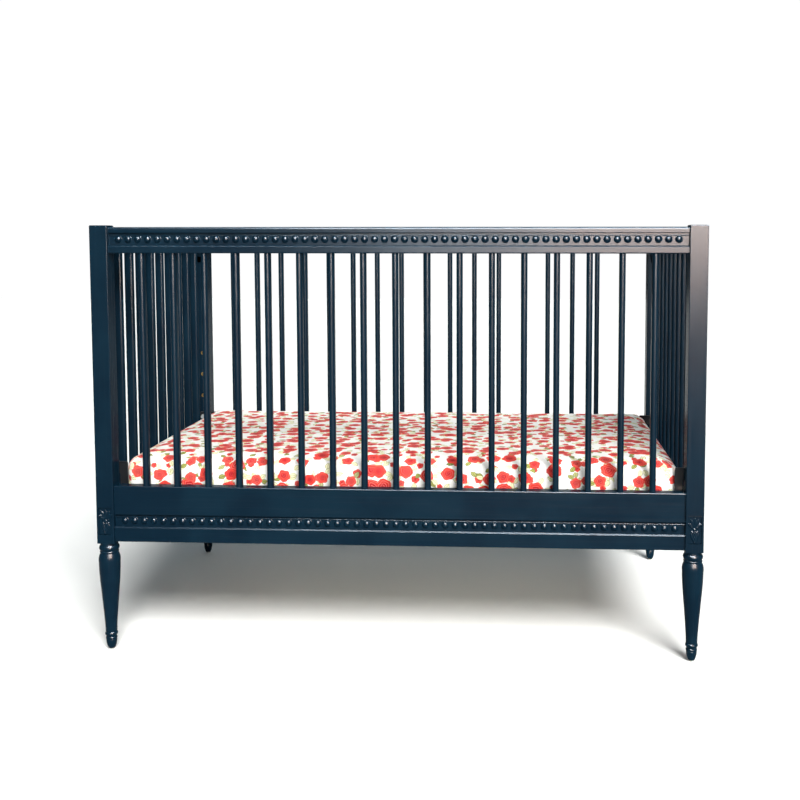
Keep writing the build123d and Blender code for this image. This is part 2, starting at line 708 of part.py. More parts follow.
def main():
    """Builds every sub-part and writes its STEP file."""
    os.makedirs("parts", exist_ok=True)
    post_shape, leg_shape, tablet_shape = post(), leg(), tablet()
    for corner, (side_x, side_y) in CORNERS.items():
        save(f"{corner}_post", at_corner(post_shape, side_x, side_y))
        save(f"{corner}_leg", at_corner(leg_shape, side_x, side_y))
        save(f"{corner}_tablet", at_corner(tablet_shape, side_x, side_y))
    save("leg_studs", at_all_corners([leg_stud()]))
    save("foot_glides", at_all_corners([foot_glide()]))

    long_sides = {
        "top_rail": top_rail(),
        "bottom_rail": bottom_rail(),
        "top_beading": beading(top_rail_low + top_channel_rise),
        "bottom_beading": beading(bottom_rail_low + bottom_channel_rise),
        "slats": slat_row(back_places, bottom_rail_top, top_rail_low, False),
    }
    ends = {
        "top_rail": end_top_rail(),
        "bottom_rail": end_bottom_rail(),
        "corner_blocks": corner_blocks(),
        "slats": slat_row(right_places, end_bottom_top, end_top_low, True),
    }
    for pieces, made, mirrored, plane in (
        (long_sides, "back", "front", Plane.XZ),
        (ends, "right", "left", Plane.YZ),
    ):
        for name, shape in pieces.items():
            save(f"{made}_{name}", shape)
            many = isinstance(shape, list)
            copies = [mirror(s, about=plane) for s in shape] if many else mirror(shape, about=plane)
            save(f"{mirrored}_{name}", copies)

    save("rail_bolts", at_all_corners([rail_bolt(z) for z in bolt_heights()]))
    save("barrel_nuts", at_all_corners([barrel_nut_at(z) for z in bolt_heights()]))
    save("rail_dowels", at_all_corners([rail_dowel(z) for z in rail_dowel_heights()]))
    save("end_dowels", at_all_corners([end_dowel(z) for z in end_dowel_heights()]))
    save("height_inserts", at_all_corners([height_insert(z) for z in row_heights]))
    save("base_pegs", at_all_corners([peg()]))

    side, end = side_angle(), end_angle()
    save("base_side_angles", [side, mirror(side, about=Plane.XZ)])
    save("base_end_angles", [end, mirror(end, about=Plane.YZ)])
    save("base_hangers", at_all_corners([hanger()]))
    save("hanger_rivets", at_all_corners([hanger_rivet(x, z) for x, z in rivet_places()]))
    long_wires = [
        bar((-wire_half_x, y, long_wire_z), (wire_half_x, y, long_wire_z), wire_diameter) for y in wire_ys
    ]
    cross_wires = [
        bar((x, -wire_half_y, cross_wire_z), (x, wire_half_y, cross_wire_z), wire_diameter) for x in wire_xs
    ]
    save("deck_long_wires", long_wires)
    save("deck_cross_wires", cross_wires)
    save("deck_springs", deck_springs())

    ticking_inset = sheet_thick + sheet_gap
    for name, shape in mattress_filling(ticking_inset + ticking_thick + ticking_gap).items():
        save(name, shape)
    save("mattress_ticking", pad(deck_top, ticking_inset) - pad(deck_top, ticking_inset + ticking_thick))
    save("fitted_sheet", fitted_sheet())


main()
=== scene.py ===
import json
import logging
from abc import ABC, abstractmethod
from dataclasses import dataclass, field
from enum import Enum
from functools import cache
from itertools import pairwise
from math import asin, atan2, ceil, copysign, cos, exp, hypot, pi, radians, sin, sqrt, tau

import bmesh
import bpy
from mathutils import Matrix, Quaternion, Vector, noise

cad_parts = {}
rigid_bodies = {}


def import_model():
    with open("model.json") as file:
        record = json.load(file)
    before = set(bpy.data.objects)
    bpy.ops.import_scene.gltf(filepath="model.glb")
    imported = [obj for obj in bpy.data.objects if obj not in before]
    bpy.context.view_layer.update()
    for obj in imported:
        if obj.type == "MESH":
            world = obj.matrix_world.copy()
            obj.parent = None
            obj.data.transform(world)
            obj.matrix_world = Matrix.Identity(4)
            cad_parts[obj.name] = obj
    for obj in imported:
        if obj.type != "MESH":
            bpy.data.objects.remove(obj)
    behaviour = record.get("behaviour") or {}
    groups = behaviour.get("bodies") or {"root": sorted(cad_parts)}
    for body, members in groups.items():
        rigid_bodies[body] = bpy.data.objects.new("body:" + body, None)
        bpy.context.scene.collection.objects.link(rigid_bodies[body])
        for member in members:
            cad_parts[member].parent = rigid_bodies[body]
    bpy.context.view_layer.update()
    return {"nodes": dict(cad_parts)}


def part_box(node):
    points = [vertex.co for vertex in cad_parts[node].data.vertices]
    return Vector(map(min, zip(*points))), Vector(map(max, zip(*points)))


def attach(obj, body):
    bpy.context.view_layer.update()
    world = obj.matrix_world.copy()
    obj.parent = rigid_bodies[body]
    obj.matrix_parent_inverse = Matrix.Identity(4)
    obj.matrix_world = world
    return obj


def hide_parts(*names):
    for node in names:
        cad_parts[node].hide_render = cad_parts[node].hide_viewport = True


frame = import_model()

log = logging.getLogger("crib")

Point = tuple[float, float, float]
Flat = tuple[float, float]
Colour = tuple[int, int, int]
Socket = bpy.types.NodeSocket

MM = 0.001
CAD_SHARP = 35.0
CORNERS = ("front_left", "front_right", "back_left", "back_right")


class Body(Enum):
    """The CAD bodies that pieces ride on."""

    FRAME = "frame"
    BASE = "base"
    MATTRESS = "mattress"


class Slot(Enum):
    """The record's material slots."""

    PAINTED_WOOD = "painted_wood"
    PAINTED_STEEL = "painted_steel"
    SPRING_WIRE = "spring_wire"
    ZINC = "zinc_steel"
    BRASS = "brass"
    NYLON = "nylon"
    BEECH = "beech"
    WADDING = "wadding"
    POCKET_CLOTH = "pocket_cloth"
    TICKING = "ticking"
    PRINTED_COTTON = "printed_cotton"


class Grain(Enum):
    """The way a wooden member runs, as the stretch of its brush marks along X, Y and Z."""

    ACROSS = (5.0, 240.0, 240.0)
    DEEP = (240.0, 5.0, 240.0)
    UP = (240.0, 240.0, 5.0)


def linear(colour: Colour) -> tuple[float, float, float, float]:
    """Turns an 8-bit colour into the linear values that a shader takes.

    Args:
        colour: Red, green and blue from 0 to 255.

    Returns:
        Linear red, green and blue, and full opacity.
    """
    shares = [value / 255 for value in colour]
    return (*(c / 12.92 if c <= 0.04045 else ((c + 0.055) / 1.055) ** 2.4 for c in shares), 1.0)


def smoothstep(value: float, low: float, high: float) -> float:
    """Rises smoothly from 0 at low to 1 at high.

    Args:
        value: The number to place between the two.
        low: Where the rise starts.
        high: Where it ends.

    Returns:
        A share from 0 to 1.
    """
    t = min(1.0, max(0.0, (value - low) / (high - low)))
    return t * t * (3 - 2 * t)


def spread(span: float, limit: float) -> list[float]:
    """Divides a span centred on 0 into equal steps of at most limit.

    Args:
        span: The whole length.
        limit: The longest step allowed.

    Returns:
        The places between the steps.
    """
    steps = ceil(span / limit)
    return [span * (i / steps - 0.5) for i in range(1, steps)]


# --- Materials ---
class Recipe:
    """One material's node tree, with short calls that add its nodes and join them."""

    def __init__(self, name: str) -> None:
        """Starts a material with its Principled shader.

        Args:
            name: The material's name.
        """
        self.material = bpy.data.materials.new(name)
        self.material.use_nodes = True
        self.tree = self.material.node_tree
        self.shader = self.tree.nodes["Principled BSDF"]
        self.relief: Socket | None = None

    def node(self, kind: str, **settings: object) -> bpy.types.Node:
        """Adds a node.

        Args:
            kind: Its type.
            **settings: Attributes to set on it.

        Returns:
            The node.
        """
        made = self.tree.nodes.new(kind)
        for key, value in settings.items():
            setattr(made, key, value)
        return made

    def feed(self, socket: Socket, value: object) -> None:
        """Joins a socket to another one, or sets its number.

        Args:
            socket: The input.
            value: An output socket or a plain value.
        """
        if isinstance(value, bpy.types.NodeSocket):
            self.tree.links.new(value, socket)
        else:
            socket.default_value = value

    def feed_named(self, node: bpy.types.Node, **values: object) -> None:
        """Feeds several inputs of a node.

        Args:
            node: The node.
            **values: Sockets or plain values, by the inputs' names, with _ for a space.
        """
        for key, value in values.items():
            self.feed(node.inputs[key.replace("_", " ")], value)

    def math(self, operation: str, *values: object, clamp: bool = False) -> Socket:
        """Adds a Math node.

        Args:
            operation: Its operation.
            *values: Sockets or numbers for its inputs.
            clamp: Whether the result is kept from 0 to 1.

        Returns:
            Its output.
        """
        made = self.node("ShaderNodeMath", operation=operation, use_clamp=clamp)
        for socket, value in zip(made.inputs, values):
            self.feed(socket, value)
        return made.outputs[0]

    def vector(self, operation: str, *values: object) -> Socket:
        """Adds a Vector Math node.

        Args:
            operation: Its operation.
            *values: Sockets or vectors for its inputs.

        Returns:
            Its number for a length or a dot product, or else its vector.
        """
        made = self.node("ShaderNodeVectorMath", operation=operation)
        for socket, value in zip(made.inputs, values):
            self.feed(socket, value)
        return made.outputs["Value" if operation in ("LENGTH", "DOT_PRODUCT") else "Vector"]

    def place(self, stretch: Point = (1.0, 1.0, 1.0)) -> Socket:
        """Gives the point on the piece in metres, stretched along each axis.

        Args:
            stretch: What each coordinate is multiplied by.

        Returns:
            The stretched coordinates.
        """
        return self.vector("MULTIPLY", self.node("ShaderNodeTexCoord").outputs["Object"], stretch)

    def split(self, where: Socket) -> tuple[Socket, ...]:
        """Takes coordinates apart.

        Args:
            where: The coordinates.

        Returns:
            Their X, Y and Z.
        """
        made = self.node("ShaderNodeSeparateXYZ")
        self.feed(made.inputs[0], where)
        return tuple(made.outputs)

    def times(self, first: object, second: object) -> Socket:
        """Multiplies two numbers."""
        return self.math("MULTIPLY", first, second)

    def noise(self, where: Socket, scale: float, detail: float = 2.0, rough: float = 0.5) -> Socket:
        """Adds soft noise.

        Args:
            where: The coordinates.
            scale: Its lumps per metre.
            detail: How many finer layers it has.
            rough: How strong those are.

        Returns:
            A number around 0.5.
        """
        made = self.node("ShaderNodeTexNoise")
        self.feed_named(made, Vector=where, Scale=scale, Detail=detail, Roughness=rough)
        return made.outputs[0]

    def cells(self, where: Socket, scale: float, flat: bool = False, loose: float = 1.0) -> bpy.types.Node:
        """Adds a Voronoi texture.

        Args:
            where: The coordinates.
            scale: Its cells per metre.
            flat: Whether only the first two coordinates count.
            loose: How far the cells stray from a grid, from 0 to 1.

        Returns:
            The node, with its Distance, Color and Position.
        """
        made = self.node("ShaderNodeTexVoronoi", voronoi_dimensions="2D" if flat else "3D")
        self.feed_named(made, Vector=where, Scale=scale, Randomness=loose)
        return made

    def ramp(self, value: Socket, low: float, high: float) -> Socket:
        """Rises smoothly from 0 at low to 1 at high.

        Args:
            value: The number to place.
            low: Where the rise starts; above high, it falls instead.
            high: Where it ends.

        Returns:
            A share from 0 to 1.
        """
        made = self.node("ShaderNodeMapRange", interpolation_type="SMOOTHSTEP")
        falls = low > high
        ends = (min(low, high), max(low, high), float(falls), float(not falls))
        for socket, number in zip(made.inputs, (value, *ends)):
            self.feed(socket, number)
        return made.outputs[0]

    def between(self, share: Socket, low: float, high: float) -> Socket:
        """Goes from low to high as the share goes from 0 to 1.

        Args:
            share: The share.
            low: The result at 0.
            high: The result at 1.

        Returns:
            The number between.
        """
        return self.math("MULTIPLY_ADD", share, high - low, low)

    def mix(self, share: object, first: object, second: object) -> Socket:
        """Mixes two colours.

        Args:
            share: How much of the second, from 0 to 1.
            first: A colour of 8-bit values or a socket.
            second: Another one.

        Returns:
            The mixed colour.
        """
        made = self.node("ShaderNodeMix", data_type="RGBA")
        for socket, value in zip((made.inputs[0], *made.inputs[6:8]), (share, first, second)):
            self.feed(socket, linear(value) if isinstance(value, tuple) else value)
        return made.outputs[2]

    def edges(self, radius: float) -> Socket:
        """Finds the piece's edges.

        Args:
            radius: How far from an edge it still counts, in metres.

        Returns:
            1 at a sharp edge and 0 on a flat.
        """
        soft = self.node("ShaderNodeBevel", samples=3)
        self.feed(soft.inputs["Radius"], radius)
        true = self.node("ShaderNodeNewGeometry").outputs["Normal"]
        return self.ramp(self.vector("DOT_PRODUCT", soft.outputs[0], true), 0.995, 0.88)

    def emboss(self, height: Socket, distance: float) -> None:
        """Adds relief to the shading, on top of what was added before.

        Args:
            height: The relief, from 0 to 1.
            distance: How deep it goes, in metres.
        """
        made = self.node("ShaderNodeBump")
        self.feed_named(made, Height=height, Distance=distance)
        if self.relief:
            self.feed(made.inputs["Normal"], self.relief)
        self.relief = made.outputs[0]

    def finish(self, colour: object, roughness: object, **fixed: float) -> bpy.types.Material:
        """Joins up the shader.

        Args:
            colour: The base colour.
            roughness: The roughness.
            **fixed: Other inputs that are the same all over, with _ for a space in their names.

        Returns:
            The finished material.
        """
        self.feed(self.shader.inputs["Base Color"], linear(colour) if isinstance(colour, tuple) else colour)
        self.feed(self.shader.inputs["Roughness"], roughness)
        self.feed_named(self.shader, **fixed)
        if self.relief:
            self.feed(self.shader.inputs["Normal"], self.relief)
        return self.material


@dataclass(frozen=True)
class Finish(ABC):
    """What a piece is made of and how it looks."""

    slot: Slot

    @abstractmethod
    def mix_up(self, recipe: Recipe) -> bpy.types.Material:
        """Adds this finish's nodes to a fresh recipe and returns its material."""


@cache
def material_of(finish: Finish) -> bpy.types.Material:
    """Makes a finish's material once, however many pieces have it.

    Args:
        finish: The finish.

    Returns:
        Its material.
    """
    parts = [finish.slot.value] + [v.name.lower() for v in vars(finish).values() if isinstance(v, Grain)]
    return finish.mix_up(Recipe("_".join(parts)))


@dataclass(frozen=True)
class NavyPaint(Finish):
    """Semi-gloss navy enamel, brushed along the member's grain, and paler at its edges: partly rubbed wear,
    partly a painted highlight along the rounded edges.
    """

    slot: Slot = Slot.PAINTED_WOOD
    grain: Grain = Grain.UP
    deep: Colour = (6, 27, 41)
    pale: Colour = (10, 34, 48)
    # paler edge colour: partly rubbed wear, partly a painted highlight along the rounded edges
    rubbed_and_highlight: Colour = (34, 60, 74)
    gloss: Flat = (0.21, 0.29)

    def mix_up(self, recipe: Recipe) -> bpy.types.Material:
        """Brush marks along the grain, fine orange peel, faint clouding, and paler edges that are partly
        rubbed wear and partly a painted highlight.

        Args:
            recipe: The fresh recipe.

        Returns:
            The material.
        """
        here = recipe.place()
        strokes = recipe.noise(recipe.place(self.grain.value), 1.0, 4.0, 0.6)
        clouds = recipe.noise(here, 9.0, 3.0)
        peel = recipe.noise(here, 620.0, 1.0)
        edge = recipe.edges(1.2 * MM)
        # painted highlight: the edges are mixed paler, partly as rubbed wear (noise-gated), partly as a
        # highlight painted along the rounded edges
        wear_and_highlight = recipe.times(edge, recipe.ramp(recipe.noise(here, 70.0, 3.0), 0.35, 0.75))
        colour = recipe.mix(recipe.ramp(clouds, 0.3, 0.7), self.deep, self.pale)
        colour = recipe.mix(recipe.times(wear_and_highlight, 0.55), colour, self.rubbed_and_highlight)
        recipe.emboss(strokes, 0.05 * MM)
        recipe.emboss(peel, 0.015 * MM)
        roughness = recipe.between(recipe.ramp(strokes, 0.25, 0.75), *self.gloss)
        return recipe.finish(colour, roughness, Specular_IOR_Level=0.02)


@dataclass(frozen=True)
class SteelEnamel(Finish):
    """Charcoal powder coat on steel, pebbled, with scuffs on its edges."""

    slot: Slot = Slot.PAINTED_STEEL
    grey: Colour = (15, 17, 21)
    dust: Colour = (34, 36, 39)
    scuff: Colour = (70, 72, 74)

    def mix_up(self, recipe: Recipe) -> bpy.types.Material:
        """Pebbled coat, dust clouds and bright scuffed edges.

        Args:
            recipe: The fresh recipe.

        Returns:
            The material.
        """
        here = recipe.place()
        pebble = recipe.cells(here, 900.0).outputs["Distance"]
        dust = recipe.ramp(recipe.noise(here, 22.0, 4.0), 0.4, 0.75)
        colour = recipe.mix(recipe.times(dust, 0.4), self.grey, self.dust)
        colour = recipe.mix(recipe.times(recipe.edges(0.6 * MM), 0.5), colour, self.scuff)
        recipe.emboss(pebble, 0.05 * MM)
        return recipe.finish(colour, recipe.between(dust, 0.38, 0.55), Specular_IOR_Level=0.3)


@dataclass(frozen=True)
class BareMetal(Finish):
    """A bare or plated metal, mottled, with fine marks round or along it."""

    bright: Colour
    dull: Colour
    smooth: float
    patch: float

    def mix_up(self, recipe: Recipe) -> bpy.types.Material:
        """Mottling, fine drawn marks and a varied gloss.

        Args:
            recipe: The fresh recipe.

        Returns:
            The material.
        """
        here = recipe.place()
        mottle = recipe.cells(here, self.patch).outputs["Color"]
        cloud = recipe.ramp(recipe.noise(here, self.patch / 3, 4.0), 0.35, 0.7)
        marks = recipe.noise(recipe.place((900.0, 900.0, 90.0)), 2.0, 3.0, 0.7)
        share = recipe.math("ADD", recipe.vector("DOT_PRODUCT", mottle, (0.3, 0.0, 0.0)), cloud)
        colour = recipe.mix(recipe.math("MULTIPLY", share, 0.7, clamp=True), self.bright, self.dull)
        recipe.emboss(marks, 0.02 * MM)
        gloss = recipe.between(marks, self.smooth, self.smooth + 0.2)
        return recipe.finish(colour, gloss, Metallic=1.0)


@dataclass(frozen=True)
class Nylon(Finish):
    """Moulded nylon, finely pitted."""

    slot: Slot = Slot.NYLON
    shade: Colour = (196, 196, 190)
    grime: Colour = (128, 126, 120)

    def mix_up(self, recipe: Recipe) -> bpy.types.Material:
        """Moulded pits and a little grime.

        Args:
            recipe: The fresh recipe.

        Returns:
            The material.
        """
        here = recipe.place()
        pits = recipe.noise(here, 1500.0, 2.0)
        grime = recipe.ramp(recipe.noise(here, 180.0, 3.0), 0.45, 0.7)
        recipe.emboss(pits, 0.03 * MM)
        colour = recipe.mix(recipe.times(grime, 0.6), self.shade, self.grime)
        return recipe.finish(colour, 0.45, Subsurface_Weight=0.1)


@dataclass(frozen=True)
class Beech(Finish):
    """Bare beech, with its short dark flecks."""

    slot: Slot = Slot.BEECH
    light: Colour = (214, 178, 136)
    dark: Colour = (172, 126, 84)
    fleck: Colour = (120, 80, 50)

    def mix_up(self, recipe: Recipe) -> bpy.types.Material:
        """Growth rings, flecks and open grain.

        Args:
            recipe: The fresh recipe.

        Returns:
            The material.
        """
        rings = recipe.noise(recipe.place((20.0, 260.0, 260.0)), 1.0, 4.0, 0.6)
        flecks = recipe.cells(recipe.place((160.0, 900.0, 900.0)), 1.0).outputs["Distance"]
        colour = recipe.mix(recipe.ramp(rings, 0.35, 0.65), self.light, self.dark)
        flecked = recipe.times(recipe.ramp(flecks, 0.25, 0.05), 0.6)
        colour = recipe.mix(flecked, colour, self.fleck)
        recipe.emboss(rings, 0.08 * MM)
        return recipe.finish(colour, 0.6)


@dataclass(frozen=True)
class Fibre(Finish):
    """Felted or spun-bonded cloth: wadding, or the coils' pockets with their welded dots."""

    shade: Colour
    shadow: Colour
    welds: float = 0.0

    def mix_up(self, recipe: Recipe) -> bpy.types.Material:
        """Tangled fibres, and a grid of welds where the cloth has them.

        Args:
            recipe: The fresh recipe.

        Returns:
            The material.
        """
        here = recipe.place()
        tangle = recipe.noise(here, 420.0, 6.0, 0.8)
        tufts = recipe.noise(here, 60.0, 3.0)
        colour = recipe.mix(recipe.ramp(tangle, 0.3, 0.7), self.shadow, self.shade)
        recipe.emboss(tufts, 1.0 * MM)
        recipe.emboss(tangle, 0.3 * MM)
        if self.welds:
            dots = recipe.ramp(recipe.cells(here, self.welds, loose=0.0).outputs["Distance"], 0.3, 0.12)
            recipe.emboss(dots, -0.2 * MM)
        return recipe.finish(colour, 0.9, Sheen_Weight=0.1, Specular_IOR_Level=0.05)


@dataclass(frozen=True)
class Ticking(Finish):
    """Twilled cream ticking with fine slate stripes."""

    slot: Slot = Slot.TICKING
    cream: Colour = (233, 227, 213)
    slate: Colour = (112, 124, 140)
    stripe_pitch: float = 0.028

    def mix_up(self, recipe: Recipe) -> bpy.types.Material:
        """Stripes across the mattress, twill lines and slubs.

        Args:
            recipe: The fresh recipe.

        Returns:
            The material.
        """
        here = recipe.place()
        phase = recipe.math("FRACT", recipe.math("DIVIDE", recipe.split(here)[0], self.stripe_pitch))
        wide = recipe.ramp(recipe.math("ABSOLUTE", recipe.math("SUBTRACT", phase, 0.5)), 0.1, 0.08)
        narrow = recipe.ramp(recipe.math("ABSOLUTE", recipe.math("SUBTRACT", phase, 0.72)), 0.025, 0.015)
        slub = recipe.noise(recipe.place((1400.0, 60.0, 60.0)), 1.0, 3.0)
        stripes = recipe.math("MAXIMUM", wide, narrow)
        stripes = recipe.times(stripes, recipe.between(slub, 0.6, 1.0))
        twill = recipe.node("ShaderNodeTexWave", bands_direction="DIAGONAL")
        recipe.feed_named(twill, Vector=here, Scale=420.0, Distortion=1.5)
        recipe.emboss(twill.outputs[1], 0.15 * MM)
        return recipe.finish(recipe.mix(stripes, self.cream, self.slate), 0.82, Specular_IOR_Level=0.05)


@dataclass(frozen=True)
class RoseCotton(Finish):
    """White cotton percale printed with coral roses, buds and outlined leaves. It reads UVs in metres."""

    slot: Slot = Slot.PRINTED_COTTON
    white: Colour = (250, 248, 243)
    coral: Colour = (226, 64, 54)
    crimson: Colour = (176, 18, 34)
    blush: Colour = (245, 150, 136)
    leaf: Colour = (240, 236, 196)
    olive: Colour = (158, 158, 84)
    pine: Colour = (52, 76, 46)
    rose_pitch: float = 0.048
    rose_radius: Flat = (0.0125, 0.0190)
    bud_pitch: float = 0.045
    bud_radius: Flat = (0.0070, 0.0115)
    spray_pitch: float = 0.054
    leaf_long: float = 0.020
    leaf_wide: float = 0.0062
    thread: float = 0.0006

    def mix_up(self, recipe: Recipe) -> bpy.types.Material:
        """Layers the print from the back: leaf sprays, leaves at the roses, buds, roses; then the weave.

        Args:
            recipe: The fresh recipe.

        Returns:
            The material.
        """
        cloth = recipe.node("ShaderNodeUVMap").outputs[0]
        wobble = recipe.node("ShaderNodeTexNoise")
        recipe.feed_named(wobble, Vector=cloth, Scale=130.0)
        shift = recipe.vector("SUBTRACT", wobble.outputs["Color"], (0.5, 0.5, 0.5))
        printed = recipe.vector("ADD", cloth, recipe.vector("MULTIPLY", shift, (0.004, 0.004, 0.0)))
        colour: object = self.white
        for offset, pitch, radius, leaves in (
            ((0.31, 0.17, 0.0), self.spray_pitch, (0.0, 0.0), (0.4,)),
            ((0.11, 0.53, 0.0), self.bud_pitch, self.bud_radius, (1.1,)),
            ((0.0, 0.0, 0.0), self.rose_pitch, self.rose_radius, (0.2, 3.3)),
        ):
            where = recipe.vector("ADD", printed, offset)
            colour = self.flowers(recipe, where, pitch, radius, leaves, colour)
        recipe.emboss(self.weave(recipe, cloth), 0.12 * MM)
        recipe.emboss(recipe.noise(cloth, 45.0, 3.0), 0.9 * MM)
        return recipe.finish(colour, 0.78, Sheen_Weight=0.1, Specular_IOR_Level=0.04)

    def flowers(
        self,
        recipe: Recipe,
        where: Socket,
        pitch: float,
        radius: Flat,
        leaves: tuple[float, ...],
        ground: object,
    ) -> Socket:
        """Prints one layer of flowers, each with its leaves, over a ground.

        Args:
            recipe: The recipe to add to.
            where: The cloth's coordinates in metres.
            pitch: About how far apart the flowers stand.
            radius: The smallest and largest flower's radius; two zeros leave only the leaves.
            leaves: The leaves' directions from the flower, in radians.
            ground: The colour beneath.

        Returns:
            The colour with this layer on it.
        """
        cell = recipe.cells(where, 1 / pitch, flat=True, loose=0.8)
        x, y, _ = recipe.split(recipe.vector("SUBTRACT", where, cell.outputs["Position"]))
        chance = recipe.node("ShaderNodeSeparateColor")
        recipe.feed(chance.inputs[0], cell.outputs["Color"])
        turn = recipe.times(chance.outputs[0], tau)
        angle = recipe.math("ADD", recipe.math("ARCTAN2", y, x), turn)
        reach = recipe.math("SQRT", recipe.math("ADD", *(recipe.times(v, v) for v in (x, y))))
        size = recipe.between(chance.outputs[1], *radius)
        colour = ground
        for k, direction in enumerate(leaves):
            colour = self.leaf_on(recipe, angle, reach, size, direction, chance.outputs[(k + 2) % 3], colour)
        if not any(radius):
            return colour
        scallops = recipe.math("SINE", recipe.times(angle, 5.0))
        outline = recipe.times(size, recipe.math("MULTIPLY_ADD", scallops, 0.07, 1.0))
        inside = recipe.ramp(recipe.math("SUBTRACT", outline, reach), 0.0, 0.0007)
        share = recipe.math("DIVIDE", reach, outline)
        winding = recipe.math("ADD", recipe.times(share, 3.4), recipe.math("DIVIDE", angle, tau))
        ruffle = recipe.times(recipe.math("SINE", recipe.times(angle, 3.0)), 0.16)
        petal = recipe.math("FRACT", recipe.math("ADD", winding, ruffle))
        rim = recipe.ramp(petal, 0.68, 0.86)
        fold = recipe.ramp(petal, 0.3, 0.0)
        paleness = recipe.times(rim, recipe.between(chance.outputs[2], 0.2, 0.9))
        flower = recipe.mix(recipe.ramp(share, 0.75, 0.15), self.coral, self.crimson)
        flower = recipe.mix(recipe.times(fold, 0.75), flower, self.crimson)
        flower = recipe.mix(paleness, flower, self.blush)
        return recipe.mix(inside, colour, flower)

    def leaf_on(
        self,
        recipe: Recipe,
        angle: Socket,
        reach: Socket,
        size: Socket,
        direction: float,
        chance: Socket,
        ground: object,
    ) -> Socket:
        """Prints one pointed leaf that grows out from under a flower.

        Args:
            recipe: The recipe to add to.
            angle: The point's direction from the flower's middle.
            reach: Its distance from there.
            size: The flower's radius.
            direction: The leaf's direction.
            chance: A share that picks this leaf's green.
            ground: The colour beneath.

        Returns:
            The colour with the leaf on it.
        """
        turned = recipe.math("SUBTRACT", angle, direction)
        along = recipe.times(reach, recipe.math("COSINE", turned))
        aside = recipe.math("ABSOLUTE", recipe.times(reach, recipe.math("SINE", turned)))
        root = recipe.times(size, 0.8)
        share = recipe.math("DIVIDE", recipe.math("SUBTRACT", along, root), self.leaf_long, clamp=True)
        bow = recipe.times(share, recipe.math("SUBTRACT", 1.0, share))
        half = recipe.times(bow, 4 * self.leaf_wide)
        inside = recipe.math("SUBTRACT", half, aside)
        mask = recipe.ramp(inside, 0.0, 0.0005)
        vein = recipe.ramp(aside, 0.0006, 0.0002)
        line = recipe.math("MAXIMUM", recipe.ramp(inside, 0.0017, 0.0009), vein)
        dark = recipe.ramp(chance, 0.74, 0.8)
        body = recipe.mix(dark, self.leaf, self.olive)
        edge = recipe.mix(dark, self.olive, self.pine)
        return recipe.mix(mask, ground, recipe.mix(line, body, edge))

    def weave(self, recipe: Recipe, cloth: Socket) -> Socket:
        """Crosses fine threads, one way over the other.

        Args:
            recipe: The recipe to add to.
            cloth: The cloth's coordinates in metres.

        Returns:
            The weave's relief.
        """
        phases = [recipe.times(part, pi / self.thread) for part in recipe.split(cloth)[:2]]
        waves = [recipe.math("SINE", phase) for phase in phases]
        return recipe.math("MULTIPLY_ADD", recipe.times(*waves), 0.5, 0.5)


UPRIGHT_PAINT = NavyPaint(grain=Grain.UP)
LONG_PAINT = NavyPaint(grain=Grain.ACROSS)
END_PAINT = NavyPaint(grain=Grain.DEEP)
STEEL = SteelEnamel()
WIRE = BareMetal(Slot.SPRING_WIRE, bright=(176, 178, 178), dull=(116, 116, 112), smooth=0.28, patch=160.0)
ZINC = BareMetal(Slot.ZINC, bright=(198, 202, 206), dull=(146, 150, 152), smooth=0.26, patch=420.0)
BRASS = BareMetal(Slot.BRASS, bright=(214, 178, 104), dull=(148, 112, 60), smooth=0.26, patch=300.0)
NYLON = Nylon()
BEECH = Beech()
WADDING = Fibre(Slot.WADDING, shade=(238, 235, 226), shadow=(196, 192, 182))
POCKET_CLOTH = Fibre(Slot.POCKET_CLOTH, shade=(236, 238, 238), shadow=(206, 210, 212), welds=260.0)
TICKING = Ticking()
ROSE_COTTON = RoseCotton()


# --- Meshes ---
@dataclass
class Shape:
    """The points and faces of one mesh, gathered part by part."""

    points: list[Vector] = field(default_factory=list)
    faces: list[tuple[int, ...]] = field(default_factory=list)

    def grid(self, rows: list[list[Vector]], round_rows: bool = True, caps: bool = True) -> None:
        """Joins rows of as many points each by four-sided faces.

        Args:
            rows: The rows, in order.
            round_rows: Whether each row closes on itself.
            caps: Whether the first and last rows are filled.
        """
        start, count = len(self.points), len(rows[0])
        self.points += [point for row in rows for point in row]
        for r in range(len(rows) - 1):
            for c in range(count if round_rows else count - 1):
                near, far = start + r * count, start + (r + 1) * count
                nxt = (c + 1) % count
                self.faces.append((near + c, near + nxt, far + nxt, far + c))
        if caps:
            last = start + (len(rows) - 1) * count
            self.faces.append(tuple(start + c for c in reversed(range(count))))
            self.faces.append(tuple(last + c for c in range(count)))

    def turned(self, outline: list[Flat], place: Matrix, sides: int) -> None:
        """Turns an outline of (radius, height) points about its own Z axis.

        Args:
            outline: The points from the bottom to the top.
            place: Where the axis stands.
            sides: How many points go round.
        """
        around = [(cos(tau * k / sides), sin(tau * k / sides)) for k in range(sides)]
        self.grid([[place @ Vector((r * c, r * s, z)) for c, s in around] for r, z in outline])

    def tube(self, path: list[Vector], radius: float, sides: int) -> None:
        """Runs a round tube along a path.

        Args:
            path: The points along its middle.
            radius: Its radius.
            sides: How many points go round.
        """
        steps = [b - a for a, b in pairwise(path)]
        ways = [(a + b).normalized() for a, b in zip(steps[:1] + steps, steps + steps[-1:])]
        side = ways[0].orthogonal().normalized()
        rows = []
        for point, way in zip(path, ways):
            side = (side - way * side.dot(way)).normalized()
            other = way.cross(side)
            turns = [tau * k / sides for k in range(sides)]
            rows.append([point + (side * cos(t) + other * sin(t)) * radius for t in turns])
        self.grid(rows)

    def mesh(self, name: str) -> bpy.types.Mesh:
        """Makes the Blender mesh, with its faces turned outwards.

        Args:
            name: The mesh's name.

        Returns:
            The mesh.
        """
        made = bpy.data.meshes.new(name)
        made.from_pydata([tuple(p) for p in self.points], [], self.faces)
        work = bmesh.new()
        work.from_mesh(made)
        bmesh.ops.recalc_face_normals(work, faces=work.faces)
        work.to_mesh(made)
        work.free()
        return made


